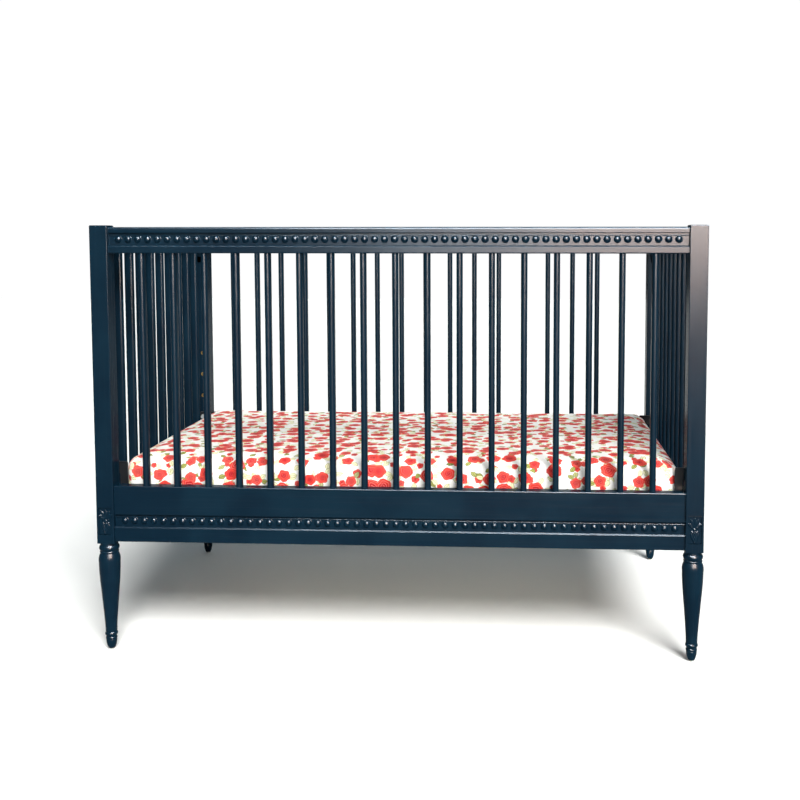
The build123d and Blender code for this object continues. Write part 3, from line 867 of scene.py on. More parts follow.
def arc(start: Flat, through: Flat, end: Flat, steps: int) -> list[Flat]:
    """Samples the circular arc through three points.

    Args:
        start: Its first point.
        through: A point on it.
        end: Its last point.
        steps: How many equal steps it is cut into.

    Returns:
        The points, the first and last included.
    """
    (ax, ay), (bx, by), (cx, cy) = start, through, end
    d = 2 * (ax * (by - cy) + bx * (cy - ay) + cx * (ay - by))
    a2, b2, c2 = ax * ax + ay * ay, bx * bx + by * by, cx * cx + cy * cy
    x = (a2 * (by - cy) + b2 * (cy - ay) + c2 * (ay - by)) / d
    y = (a2 * (cx - bx) + b2 * (ax - cx) + c2 * (bx - ax)) / d
    radius = hypot(ax - x, ay - y)
    first, middle, last = (atan2(q - y, p - x) for p, q in (start, through, end))
    sweep = (last - first) % tau
    if (middle - first) % tau > sweep:
        sweep -= tau
    turns = [first + sweep * k / steps for k in range(steps + 1)]
    return [(x + radius * cos(t), y + radius * sin(t)) for t in turns]


def smooth_through(points: list[Flat], steps: int) -> list[Flat]:
    """Samples a smooth curve through points, upright at both ends.

    Args:
        points: (radius, height) points, from the bottom up.
        steps: How many steps each stretch is cut into.

    Returns:
        The points along the curve.
    """
    slopes = [0.0]
    for (r0, z0), (r2, z2) in zip(points, points[2:]):
        slopes.append((r2 - r0) / (z2 - z0))
    slopes.append(0.0)
    out = [points[0]]
    for (r0, z0), (r1, z1), s0, s1 in zip(points, points[1:], slopes, slopes[1:]):
        for k in range(1, steps + 1):
            t, h = k / steps, z1 - z0
            radius = (
                r0 * (1 + 2 * t) * (1 - t) ** 2
                + h * s0 * t * (1 - t) ** 2
                + r1 * t * t * (3 - 2 * t)
                + h * s1 * t * t * (t - 1)
            )
            out.append((radius, z0 + h * t))
    return out


def join_points(mesh: bpy.types.Mesh) -> None:
    """Joins points that stand in the same place.

    Args:
        mesh: The mesh.
    """
    work = bmesh.new()
    work.from_mesh(mesh)
    bmesh.ops.remove_doubles(work, verts=work.verts, dist=0.001 * MM)
    bmesh.ops.recalc_face_normals(work, faces=work.faces)
    work.to_mesh(mesh)
    work.free()


def soften(mesh: bpy.types.Mesh, limit: float) -> None:
    """Shades a mesh smooth, except across edges sharper than a limit.

    Args:
        mesh: The mesh.
        limit: The angle in degrees.
    """
    mesh.shade_smooth()
    mesh.set_sharp_from_angle(angle=radians(limit))


def add_piece(
    name: str,
    mesh: bpy.types.Mesh,
    body: Body,
    finish: Finish,
    stands_for: tuple[str, ...],
    sharp: float,
) -> bpy.types.Object:
    """Puts a piece in the scene: its finish, its body, and the CAD nodes that it stands for.

    Args:
        name: The piece's name.
        mesh: Its mesh, in the frame's coordinates.
        body: What it rides on.
        finish: Its finish.
        stands_for: The CAD nodes that it replaces.
        sharp: The angle in degrees above which an edge is shaded sharp.

    Returns:
        The piece.
    """
    soften(mesh, sharp)
    piece = bpy.data.objects.new(name, mesh)
    bpy.context.collection.objects.link(piece)
    mesh.materials.append(material_of(finish))
    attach(piece, body.value)
    if stands_for:
        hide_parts(*stands_for)
    log.info("%s: %d faces on %s, %s", name, len(mesh.polygons), body.value, finish.slot.value)
    return piece


def dress_node(node: str, finish: Finish) -> None:
    """Gives a CAD node its finish and smooth shading. Its points stay as they are.

    Args:
        node: The node's name.
        finish: Its finish.
    """
    piece = frame["nodes"][node]
    piece.data.materials.clear()
    piece.data.materials.append(material_of(finish))
    soften(piece.data, CAD_SHARP)
    log.info("%s: kept from the CAD, %s", node, finish.slot.value)


# --- Sub-assemblies ---
@dataclass(frozen=True)
class Softbox:
    """One soft rectangular light. A card only shows as a reflection in the paint, and lights nothing."""

    name: str
    place: Point
    target: Point
    size: Flat
    watts: float
    tint: Point
    card: bool = True


@dataclass
class Studio:
    """The pale floor, the soft lights and the camera. Metres and degrees."""

    floor_half: float = 14.0
    floor_cells: int = 20
    sun_from: Point = (0.42, -0.98, 1.0)
    sun_strength: float = 5.45
    sun_width: float = 27.0
    sun_tint: Point = (1.0, 1.0, 0.985)
    softboxes: tuple[Softbox, ...] = (
        Softbox(
            "front_right", (1.75, -3.5, 1.95), (1.2, 0.0, 1.3), (2.0, 2.1), 8.0, (1.0, 0.97, 0.95), False
        ),
        Softbox("warm_card", (1.4, -3.5, 2.02), (1.3, 0.0, 1.77), (2.0, 2.3), 6300.0, (1.0, 0.75, 0.62)),
        Softbox("low_card", (0.0, -3.5, 1.9), (0.0, 0.0, 1.65), (0.9, 2.3), 1050.0, (1.0, 0.90, 0.83)),
        Softbox("spark_card", (0.35, -1.9, 2.7), (0.2, -0.3, 0.6), (2.4, 1.3), 5600.0, (1.0, 0.98, 0.96)),
        Softbox("top_card", (0.1, -0.5, 3.2), (0.1, -0.4, 0.5), (3.2, 1.6), 1100.0, (0.93, 0.98, 1.0)),
    )
    glow_reach: Flat = (-0.2, 0.6)
    glow: Flat = (0.03, 0.36)
    glow_tint: Point = (0.80, 0.95, 1.03)
    glow_lost_in_gloss: float = 0.85
    seen_white: float = 1.02
    eye: Point = (0.2835, -2.6248, 0.964)
    turned_left: float = 2.986
    tipped_down: float = 4.07
    lens: float = 44.87
    shift: Flat = (-0.085, -0.11)

    def build(self) -> None:
        """Lays the floor and sets up the lights, the surroundings and the camera."""
        self.lay_floor()
        self.daylight()
        for softbox in self.softboxes:
            self.hang(softbox)
        self.surround()
        self.stand_camera()
        bpy.context.scene.view_settings.view_transform = "Standard"

    def lay_floor(self) -> None:
        """Makes the flat floor, with its own plain paper finish."""
        shape = Shape()
        cells = self.floor_cells
        steps = [self.floor_half * (k / cells - 1) for k in range(2 * cells + 1)]
        shape.grid([[Vector((x, y, 0.0)) for x in steps] for y in steps], round_rows=False, caps=False)
        floor = bpy.data.objects.new("floor", shape.mesh("floor"))
        bpy.context.collection.objects.link(floor)
        recipe = Recipe("studio_paper")
        here = recipe.place()
        recipe.emboss(recipe.noise(here, 300.0, 3.0), 0.1 * MM)
        colour = recipe.mix(recipe.noise(here, 1.5, 2.0), (243, 244, 242), (248, 248, 247))
        floor.data.materials.append(recipe.finish(colour, 0.75, Specular_IOR_Level=0.2))

    def lamp(self, data: bpy.types.Light, way: Vector) -> bpy.types.Object:
        """Puts a light in the scene.

        Args:
            data: The light.
            way: The direction that it shines in.

        Returns:
            The lamp.
        """
        lamp = bpy.data.objects.new(data.name, data)
        lamp.rotation_euler = way.to_track_quat("-Z", "Y").to_euler()
        bpy.context.collection.objects.link(lamp)
        return lamp

    def hang(self, softbox: Softbox) -> None:
        """Hangs one soft light.

        Args:
            softbox: The light.
        """
        data = bpy.data.lights.new(softbox.name, "AREA")
        data.shape = "RECTANGLE"
        data.size, data.size_y = softbox.size
        data.energy = softbox.watts
        data.color = softbox.tint
        lamp = self.lamp(data, Vector(softbox.target) - Vector(softbox.place))
        lamp.location = softbox.place
        if softbox.card:
            lamp.visible_diffuse = False
            lamp.light_linking.receiver_collection = self.glossed()

    def glossed(self) -> bpy.types.Collection:
        """Gathers the painted pieces, once, as the only ones that the cards show in.

        Returns:
            The painted pieces.
        """
        if "glossed" not in bpy.data.collections:
            painted = bpy.data.collections.new("glossed")
            for piece in bpy.context.scene.objects:
                if any(s.name.startswith(Slot.PAINTED_WOOD.value) for s in piece.material_slots):
                    painted.objects.link(piece)
        return bpy.data.collections["glossed"]

    def daylight(self) -> None:
        """Adds the broad, even light from above, which whitens the floor out to the horizon."""
        data = bpy.data.lights.new("overhead", "SUN")
        data.energy = self.sun_strength
        data.angle = radians(self.sun_width)
        data.color = self.sun_tint
        self.lamp(data, -Vector(self.sun_from))

    def surround(self) -> None:
        """Makes the surroundings: white to look at, and as a light bright behind and dim in front."""
        world = bpy.data.worlds.new("studio")
        bpy.context.scene.world = world
        world.use_nodes = True
        nodes, links = world.node_tree.nodes, world.node_tree.links
        lit, seen = nodes["Background"], nodes.new("ShaderNodeBackground")
        split, height = nodes.new("ShaderNodeSeparateXYZ"), nodes.new("ShaderNodeMapRange")
        links.new(nodes.new("ShaderNodeTexCoord").outputs["Generated"], split.inputs[0])
        links.new(split.outputs["Y"], height.inputs["Value"])
        for socket, value in zip(list(height.inputs)[1:5], (*self.glow_reach, *self.glow)):
            socket.default_value = value
        ray = nodes.new("ShaderNodeLightPath")
        dimmed, strength = nodes.new("ShaderNodeMath"), nodes.new("ShaderNodeMath")
        dimmed.operation, strength.operation = "MULTIPLY_ADD", "MULTIPLY"
        links.new(ray.outputs["Is Glossy Ray"], dimmed.inputs[0])
        dimmed.inputs[1].default_value = -self.glow_lost_in_gloss
        dimmed.inputs[2].default_value = 1.0
        links.new(height.outputs[0], strength.inputs[0])
        links.new(dimmed.outputs[0], strength.inputs[1])
        lit.inputs["Color"].default_value = (*self.glow_tint, 1.0)
        links.new(strength.outputs[0], lit.inputs["Strength"])
        seen.inputs["Color"].default_value = (1.0, 1.0, 1.0, 1.0)
        seen.inputs["Strength"].default_value = self.seen_white
        choice = nodes.new("ShaderNodeMixShader")
        links.new(ray.outputs["Is Camera Ray"], choice.inputs[0])
        links.new(lit.outputs[0], choice.inputs[1])
        links.new(seen.outputs[0], choice.inputs[2])
        links.new(choice.outputs[0], nodes["World Output"].inputs["Surface"])

    def stand_camera(self) -> None:
        """Puts the camera a little above the rails' height, right of the middle, looking slightly down."""
        data = bpy.data.cameras.new("camera")
        data.lens = self.lens
        data.shift_x, data.shift_y = self.shift
        camera = bpy.data.objects.new("camera", data)
        camera.location = self.eye
        camera.rotation_euler = (radians(90 - self.tipped_down), 0.0, radians(self.turned_left))
        bpy.context.collection.objects.link(camera)
        bpy.context.scene.camera = camera


@dataclass
class PaintedFrame:
    """The posts, long rails and slats, whose CAD shapes are right as they are."""

    upright: tuple[str, ...] = (
        *(f"{corner}_post" for corner in CORNERS),
        *(f"{side}_slats" for side in ("front", "back", "left", "right")),
    )
    long_rails: tuple[str, ...] = tuple(
        f"{side}_{level}_rail" for side in ("front", "back") for level in ("top", "bottom")
    )

    def build(self) -> None:
        """Paints them, each along its own grain."""
        for node in self.upright:
            dress_node(node, UPRIGHT_PAINT)
        for node in self.long_rails:
            dress_node(node, LONG_PAINT)


@dataclass
class TurnedLegs:
    """The turned legs, from the tip up, in millimetres.

    The foot, shaft and shoulder are (diameter, height above the floor) points. A ring is its lower and
    upper heights and its diameters at the edges and the crown; the groove is its two heights and diameter.
    """

    glide: float = 3.0
    foot: tuple[Flat, ...] = ((15.0, 3.0), (21.2, 11.0), (24.6, 24.0))
    rings: tuple[tuple[float, float, float, float], ...] = (
        (24.5, 30.5, 24.0, 26.0),
        (34.0, 42.5, 25.0, 29.0),
        (233.5, 238.5, 40.6, 43.2),
        (240.0, 251.5, 41.0, 46.0),
    )
    groove: tuple[float, float, float] = (31.0, 33.5, 22.8)
    shaft: tuple[Flat, ...] = ((26.6, 44.0), (30.8, 83.0), (38.6, 131.0), (46.4, 178.0), (48.9, 211.0))
    shoulder: tuple[Flat, ...] = ((48.9, 211.0), (47.4, 225.0), (41.4, 232.5))
    pad: float = 40.0
    ease: float = 0.5
    core: float = 0.001
    steps: int = 10
    sides: int = 72

    def outline(self, top: float) -> list[Flat]:
        """Works out the turned outline.

        Args:
            top: The height of the post's underside, in millimetres.

        Returns:
            (radius, height) points in metres.
        """
        low_ring, ankle_ring, thin_ring, collar_ring = (self.ring(*sizes) for sizes in self.rings)
        half = [[(d / 2, z) for d, z in part] for part in (self.foot, self.shaft, self.shoulder)]
        tip = half[0][0]
        groove_low, groove_high, groove_wide = self.groove
        pad_low = self.rings[-1][1] + 1.0
        points = [
            (self.core, self.glide),
            (tip[0] - self.ease, self.glide),
            *arc(*half[0], self.steps),
            *low_ring,
            (groove_wide / 2, groove_low),
            (groove_wide / 2, groove_high),
            *ankle_ring,
            *smooth_through(half[1], self.steps),
            *arc(*half[2], self.steps)[1:],
            *thin_ring,
            *collar_ring,
            (self.pad / 2, pad_low),
            (self.pad / 2, top),
            (self.core, top),
        ]
        return [(r * MM, z * MM) for r, z in points]

    def ring(self, low: float, high: float, edge: float, crown: float) -> list[Flat]:
        """Rounds one turned ring.

        Args:
            low: Its lower edge's height.
            high: Its upper edge's height.
            edge: Its diameter at both edges.
            crown: Its diameter at the middle.

        Returns:
            The (radius, height) points over it.
        """
        return arc((edge / 2, low), (crown / 2, (low + high) / 2), (edge / 2, high), self.steps)

    def build(self) -> None:
        """Turns a leg under each post."""
        for corner in CORNERS:
            node = f"{corner}_leg"
            low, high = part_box(node)
            middle = (low + high) / 2
            shape = Shape()
            place = Matrix.Translation((middle.x, middle.y, 0.0))
            shape.turned(self.outline(high.z / MM), place, self.sides)
            add_piece(f"{corner}_turned_leg", shape.mesh(node), Body.FRAME, UPRIGHT_PAINT, (node,), 38.0)


@dataclass
class Beading:
    """The strips of half-round beads in the channels of the long rails. Metres."""

    bead_radius: float = 0.008
    bead_pitch: float = 0.02275
    margin: float = 0.0228
    base: float = 0.0015
    lip: Flat = (0.0030, 0.0015)
    quirk: float = 0.0034
    quirk_floor: float = 0.0002
    cove: float = 0.0007
    sides: int = 28
    dome_steps: int = 10

    def strip(self, low: Vector, high: Vector, out: float) -> Shape:
        """Builds one strip and its beads.

        Args:
            low: The CAD strip's lowest corner.
            high: Its highest corner.
            out: 1 where the beads face +Y, or -1 for -Y.

        Returns:
            The strip's shape.
        """
        shape = Shape()
        floor = low.y if out > 0 else high.y
        section = self.section(high.z - low.z)
        rows = [
            [Vector((x, floor + out * depth, low.z + height)) for depth, height in section]
            for x in (low.x, high.x)
        ]
        shape.grid(rows)
        span = high.x - low.x - 2 * self.margin
        count = round(span / self.bead_pitch)
        height = high.y - low.y - self.base
        outline = self.bead_outline(height)
        upright = Quaternion((1.0, 0.0, 0.0), -out * pi / 2).to_matrix().to_4x4()
        for k in range(count + 1):
            x = low.x + self.margin + span * k / count
            middle = Vector((x, floor + out * self.base, (low.z + high.z) / 2))
            shape.turned(outline, Matrix.Translation(middle) @ upright, self.sides)
        return shape

    def section(self, height: float) -> list[Flat]:
        """Draws the strip's section, with a raised lip and a dark quirk along its top.

        Args:
            height: The strip's height.

        Returns:
            (depth, height) points round it.
        """
        wide, rise = self.lip
        top = height - self.quirk
        crown = arc((self.base, top - wide), (self.base + rise, top - wide / 2), (self.base, top), 8)
        return [
            (0.0, 0.0),
            (self.base, 0.0),
            *crown,
            (self.quirk_floor, top),
            (self.quirk_floor, height),
            (0.0, height),
        ]

    def bead_outline(self, height: float) -> list[Flat]:
        """Draws a bead's half outline: a small cove at its foot, then its dome.

        Args:
            height: How far it stands out.

        Returns:
            (radius, height) points from its foot to its crown.
        """
        ball = (self.bead_radius**2 + height**2) / (2 * height)
        foot = asin((ball - height) / ball)
        turns = [foot + (pi / 2 - foot) * k / self.dome_steps for k in range(self.dome_steps + 1)]
        dome = [(max(ball * cos(t), 1e-5), height - ball + ball * sin(t)) for t in turns]
        skirt = [(self.bead_radius + self.cove, -self.base / 2), (self.bead_radius + self.cove, 0.0)]
        return [*skirt, (self.bead_radius + 0.3 * self.cove, 0.3 * self.cove), *dome[1:]]

    def build(self) -> None:
        """Builds the four strips."""
        for side, out in (("front", -1.0), ("back", 1.0)):
            for rail in ("top", "bottom"):
                node = f"{side}_{rail}_beading"
                mesh = self.strip(*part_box(node), out).mesh(node)
                add_piece(f"{side}_{rail}_bead_strip", mesh, Body.FRAME, LONG_PAINT, (node,), 50.0)


@dataclass
class CarvedBlocks:
    """The carved blocks at the posts' feet: relief worked as heights over each block's face.

    In millimetres. The boss and dots are (radius, height); the tongue and leaf are width, length and
    height; a leaflet is its turn in radians and share of the leaf's length; ribs are pitch and height.
    """

    step: float = 0.4
    floor: float = 2.2
    boss: Flat = (4.4, 2.6)
    dot: Flat = (2.4, 1.5)
    dot_ring: float = 7.4
    tongue: tuple[float, float, float] = (10.4, 28.0, 2.3)
    ribs: tuple[float, float] = (3.4, 0.4)
    leaf: tuple[float, float, float] = (14.0, 25.0, 2.2)
    leaflets: tuple[Flat, ...] = ((0.0, 1.0), (0.42, 0.95), (-0.42, 0.95), (0.92, 0.82), (-0.92, 0.82))
    vein: Flat = (0.45, 0.45)
    collar: tuple[float, float, float] = (5.6, 0.5, 0.7)
    eased_edge: Flat = (0.8, 0.5)
    foot_margin: float = 1.5
    fan_raised: float = 3.0

    def dome(self, x: float, z: float, radius: float, height: float) -> float:
        """Gives the height of a round boss.

        Args:
            x: The point's distance from its middle, sideways.
            z: And upwards.
            radius: The boss's radius.
            height: Its height.

        Returns:
            Its height there.
        """
        share = 1 - (x * x + z * z) / radius**2
        return height * sqrt(share) if share > 0 else 0.0

    def palmette(self, x: float, z: float) -> float:
        """Gives the height of the fan of leaflets above the boss.

        Args:
            x: The point's distance from the boss, sideways.
            z: And upwards.

        Returns:
            The carving's height there.
        """
        wide, long, rise = self.leaf
        height = 0.0
        vein_wide, vein_deep = self.vein
        for turn, reach in self.leaflets:
            c, s = cos(turn), sin(turn)
            along, aside = (z * c + x * s) / (long * reach), x * c - z * s
            if not 0.08 < along < 1.0:
                continue
            half = wide * 0.27 * sin(pi * along**1.5) + 0.2
            share = 1 - (aside / half) ** 2
            if share > 0:
                vein = vein_deep * exp(-((aside / vein_wide) ** 2))
                height = max(height, rise * (0.55 + 0.45 * along) * sqrt(share) - vein)
        return height

    def drop(self, x: float, z: float) -> float:
        """Gives the height of the ribbed drop that hangs below the boss, round at its foot.

        Args:
            x: The point's distance from its middle, sideways.
            z: Its height above the drop's foot.

        Returns:
            The carving's height there.
        """
        half, long, rise = self.tongue
        share = z / long
        if not 0.0 < share < 1.0:
            return 0.0
        reach = half * sin(pi * (1 - share) ** 0.62) ** 0.75
        inside = 1 - (x / reach) ** 2 if reach > 0.01 else -1.0
        if inside <= 0:
            return 0.0
        pitch, deep = self.ribs
        ribs = deep * cos(tau * (abs(x) * 0.85 - z * 0.32) / pitch)
        rim = 0.35 if inside < 0.22 else 0.0
        return rise * inside**0.4 + ribs * inside - rim

    def relief(self, x: float, z: float, half_height: float) -> float:
        """Gives the block's height over its ground.

        Args:
            x: The point's distance from the block's middle, sideways.
            z: And upwards.
            half_height: Half of the block's height.

        Returns:
            The height of the carving.
        """
        dots = [(sx * 0.82, sz * 0.62) for sx in (-1, 1) for sz in (-1, 1)]
        heights = [
            self.palmette(x, z - self.fan_raised),
            self.drop(x, z + half_height - self.foot_margin),
            self.dome(x, z, *self.boss),
            *(self.dome(x - dx * self.dot_ring, z - dz * self.dot_ring, *self.dot) for dx, dz in dots),
        ]
        ring, wide, rise = self.collar
        return max(*heights, rise * exp(-(((hypot(x, z) - ring) / wide) ** 2)))

    def block(self, low: Vector, high: Vector, out: float) -> Shape:
        """Carves one block.

        Args:
            low: The CAD block's lowest corner.
            high: Its highest corner.
            out: 1 where it faces +Y, or -1 for -Y.

        Returns:
            The block's shape.
        """
        wide, tall = (high.x - low.x) / MM, (high.z - low.z) / MM
        middle = (low + high) / 2
        back = low.y if out > 0 else high.y
        most = (high.y - low.y) / MM
        across, up = round(wide / self.step), round(tall / self.step)
        ease_wide, ease_deep = self.eased_edge
        rows = []
        for j in range(up + 1):
            z = tall * (j / up - 0.5)
            row = []
            for i in range(across + 1):
                x = wide * (i / across - 0.5)
                rim = min(wide / 2 - abs(x), tall / 2 - abs(z))
                height = self.floor + self.relief(x, z, tall / 2)
                height = min(height, most) - ease_deep * (1 - smoothstep(rim, 0.0, ease_wide))
                row.append(Vector((middle.x + x * MM, back + out * height * MM, middle.z + z * MM)))
            rows.append(row)
        shape = Shape()
        shape.grid(rows, round_rows=False, caps=False)
        ring = [rows[0], [row[-1] for row in rows[1:]], rows[-1][-2::-1], [row[0] for row in rows[-2:0:-1]]]
        front = [point for part in ring for point in part]
        shape.grid([front, [Vector((p.x, back, p.z)) for p in front]], caps=False)
        return shape

    def build(self) -> None:
        """Carves the four blocks."""
        for corner in CORNERS:
            node = f"{corner}_tablet"
            out = -1.0 if corner.startswith("front") else 1.0
            mesh = self.block(*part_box(node), out).mesh(node)
            join_points(mesh)
            add_piece(f"{corner}_carved_block", mesh, Body.FRAME, UPRIGHT_PAINT, (node,), 60.0)


@dataclass
class EndPanels:
    """The ends' top and bottom rails, each with its two rounded inner corners in one piece. Metres."""

    corner: float = 0.060
    edge: float = 0.0025
    arc_steps: int = 22
    edge_steps: int = 5

    def inner_edge(self, half: float) -> list[tuple[float, float, float]]:
        """Follows the opening's edge from one post to the other.

        Args:
            half: Half the distance between the posts.

        Returns:
            (y, drop, slope) points: the drop below the rail's own line, and the angle of the edge there.
        """
        turns = [pi / 2 * k / self.arc_steps for k in range(self.arc_steps + 1)]
        left = [
            (-half + self.corner * (1 - cos(t)), self.corner * (1 - sin(t)), pi / 2 - t) for t in turns
        ]
        right = [(-y, drop, -slope) for y, drop, slope in reversed(left)]
        return left + right

    def rail(self, low: Vector, high: Vector, up: float) -> Shape:
        """Builds one rail with its rounded corners.

        Args:
            low: The CAD rail's lowest corner.
            high: Its highest corner.
            up: 1 for the bottom rail, whose corners rise, or -1 for the top one.

        Returns:
            The rail's shape.
        """
        half_thick = (high.x - low.x) / 2
        middle = (low.x + high.x) / 2
        plain, inner = (low.z, high.z) if up > 0 else (high.z, low.z)
        turns = [pi / 2 * k / self.edge_steps for k in range(self.edge_steps + 1)]
        rounding = [(self.edge * (1 - sin(t)), self.edge * (1 - cos(t))) for t in turns]
        rows = []
        for y, drop, slope in self.inner_edge(high.y):
            line = inner + up * drop
            row = []
            for side, corner in ((-1, rounding), (1, rounding[::-1])):
                for inset, depth in corner:
                    across, level = y - depth * sin(slope), line - up * depth * cos(slope)
                    row.append(Vector((middle + side * (half_thick - inset), across, level)))
            for side, corner in ((1, rounding), (-1, rounding[::-1])):
                for inset, depth in corner:
                    row.append(Vector((middle + side * (half_thick - inset), y, plain + up * depth)))
            rows.append(row)
        shape = Shape()
        shape.grid(rows)
        return shape

    def build(self) -> None:
        """Builds the four rails of the two ends."""
        for side in ("left", "right"):
            for rail, up in (("top", -1.0), ("bottom", 1.0)):
                node = f"{side}_{rail}_rail"
                nodes = (node, f"{side}_corner_blocks") if rail == "top" else (node,)
                shape = self.rail(*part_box(node), up)
                add_piece(f"{side}_end_{rail}_rail", shape.mesh(node), Body.FRAME, END_PAINT, nodes, 30.0)


@dataclass
class Fasteners:
    """The frame's fasteners and the glides, which keep their CAD shapes."""

    finishes: tuple[tuple[str, Finish], ...] = (
        ("leg_studs", ZINC),
        ("foot_glides", NYLON),
        ("rail_bolts", ZINC),
        ("barrel_nuts", ZINC),
        ("rail_dowels", BEECH),
        ("end_dowels", BEECH),
        ("height_inserts", BRASS),
        ("base_pegs", ZINC),
    )

    def build(self) -> None:
        """Gives each its metal, wood or nylon."""
        for node, finish in self.finishes:
            dress_node(node, finish)


@dataclass
class SprungBase:
    """The steel base: CAD angles and hangers, and coiled springs at its wires' ends. Metres."""

    angle_leg: float = 0.025
    deck_pitch: float = 0.080
    coil_outer: float = 0.0094
    coil_length: float = 0.030
    coil_wire: float = 0.0009
    turns: int = 11
    hook_in: float = 0.0075
    hook_round: float = 0.0022
    hook_below: float = 0.0004
    tail: float = 0.002
    steps: int = 14
    hook_steps: int = 6

    def spring_path(self, lift: float) -> list[Vector]:
        """Follows one spring's wire along +X from 0: round its turns, then out and up to its hook.

        Args:
            lift: How far its hook rises above its middle.

        Returns:
            The points along its wire.
        """
        radius = self.coil_outer / 2 - self.coil_wire
        total = self.turns * self.steps
        path = [Vector((-self.tail, 0.0, 0.0))]
        for k in range(total + 1):
            share = k / total
            wide = radius * smoothstep(min(share, 1 - share), 0.0, 0.09)
            turn = tau * k / self.steps
            path.append(Vector((self.coil_length * share, wide * cos(turn), wide * sin(turn))))
        corner = self.coil_length + self.hook_in
        for turn in (pi / 2 * k / self.hook_steps for k in range(self.hook_steps + 1)):
            x, z = corner - self.hook_round * (1 - sin(turn)), self.hook_round * (1 - cos(turn))
            path.append(Vector((x, 0.0, z)))
        return [*path, Vector((corner, 0.0, lift))]

    def build(self) -> None:
        """Dresses the steel and coils the springs."""
        for node in ("base_side_angles", "base_end_angles", "base_hangers"):
            dress_node(node, STEEL)
        dress_node("hanger_rivets", ZINC)
        for node in ("deck_long_wires", "deck_cross_wires"):
            dress_node(node, WIRE)
        _, side_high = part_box("base_side_angles")
        _, end_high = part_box("base_end_angles")
        long_low, long_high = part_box("deck_long_wires")
        cross_low, cross_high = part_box("deck_cross_wires")
        long_z = (long_low.z + long_high.z) / 2
        cross_z = (cross_low.z + cross_high.z) / 2
        top = side_high.z - self.hook_below
        shape = Shape()
        for places, reach, height, quarter in (
            (spread(2 * (side_high.y - self.angle_leg), self.deck_pitch), long_high.x, long_z, 0),
            (spread(2 * (end_high.x - self.angle_leg), self.deck_pitch), cross_high.y, cross_z, 1),
        ):
            path = self.spring_path(top - height)
            for aside in places:
                for half_turn in (0, 2):
                    spin = Matrix.Rotation((quarter + half_turn) * pi / 2, 4, "Z")
                    sway = -aside if quarter else aside
                    start = Matrix.Translation((reach, sway if half_turn == 0 else -sway, height))
                    shape.tube([spin @ start @ point for point in path], self.coil_wire, 6)
        add_piece("deck_coil_springs", shape.mesh("springs"), Body.BASE, WIRE, ("deck_springs",), 60.0)


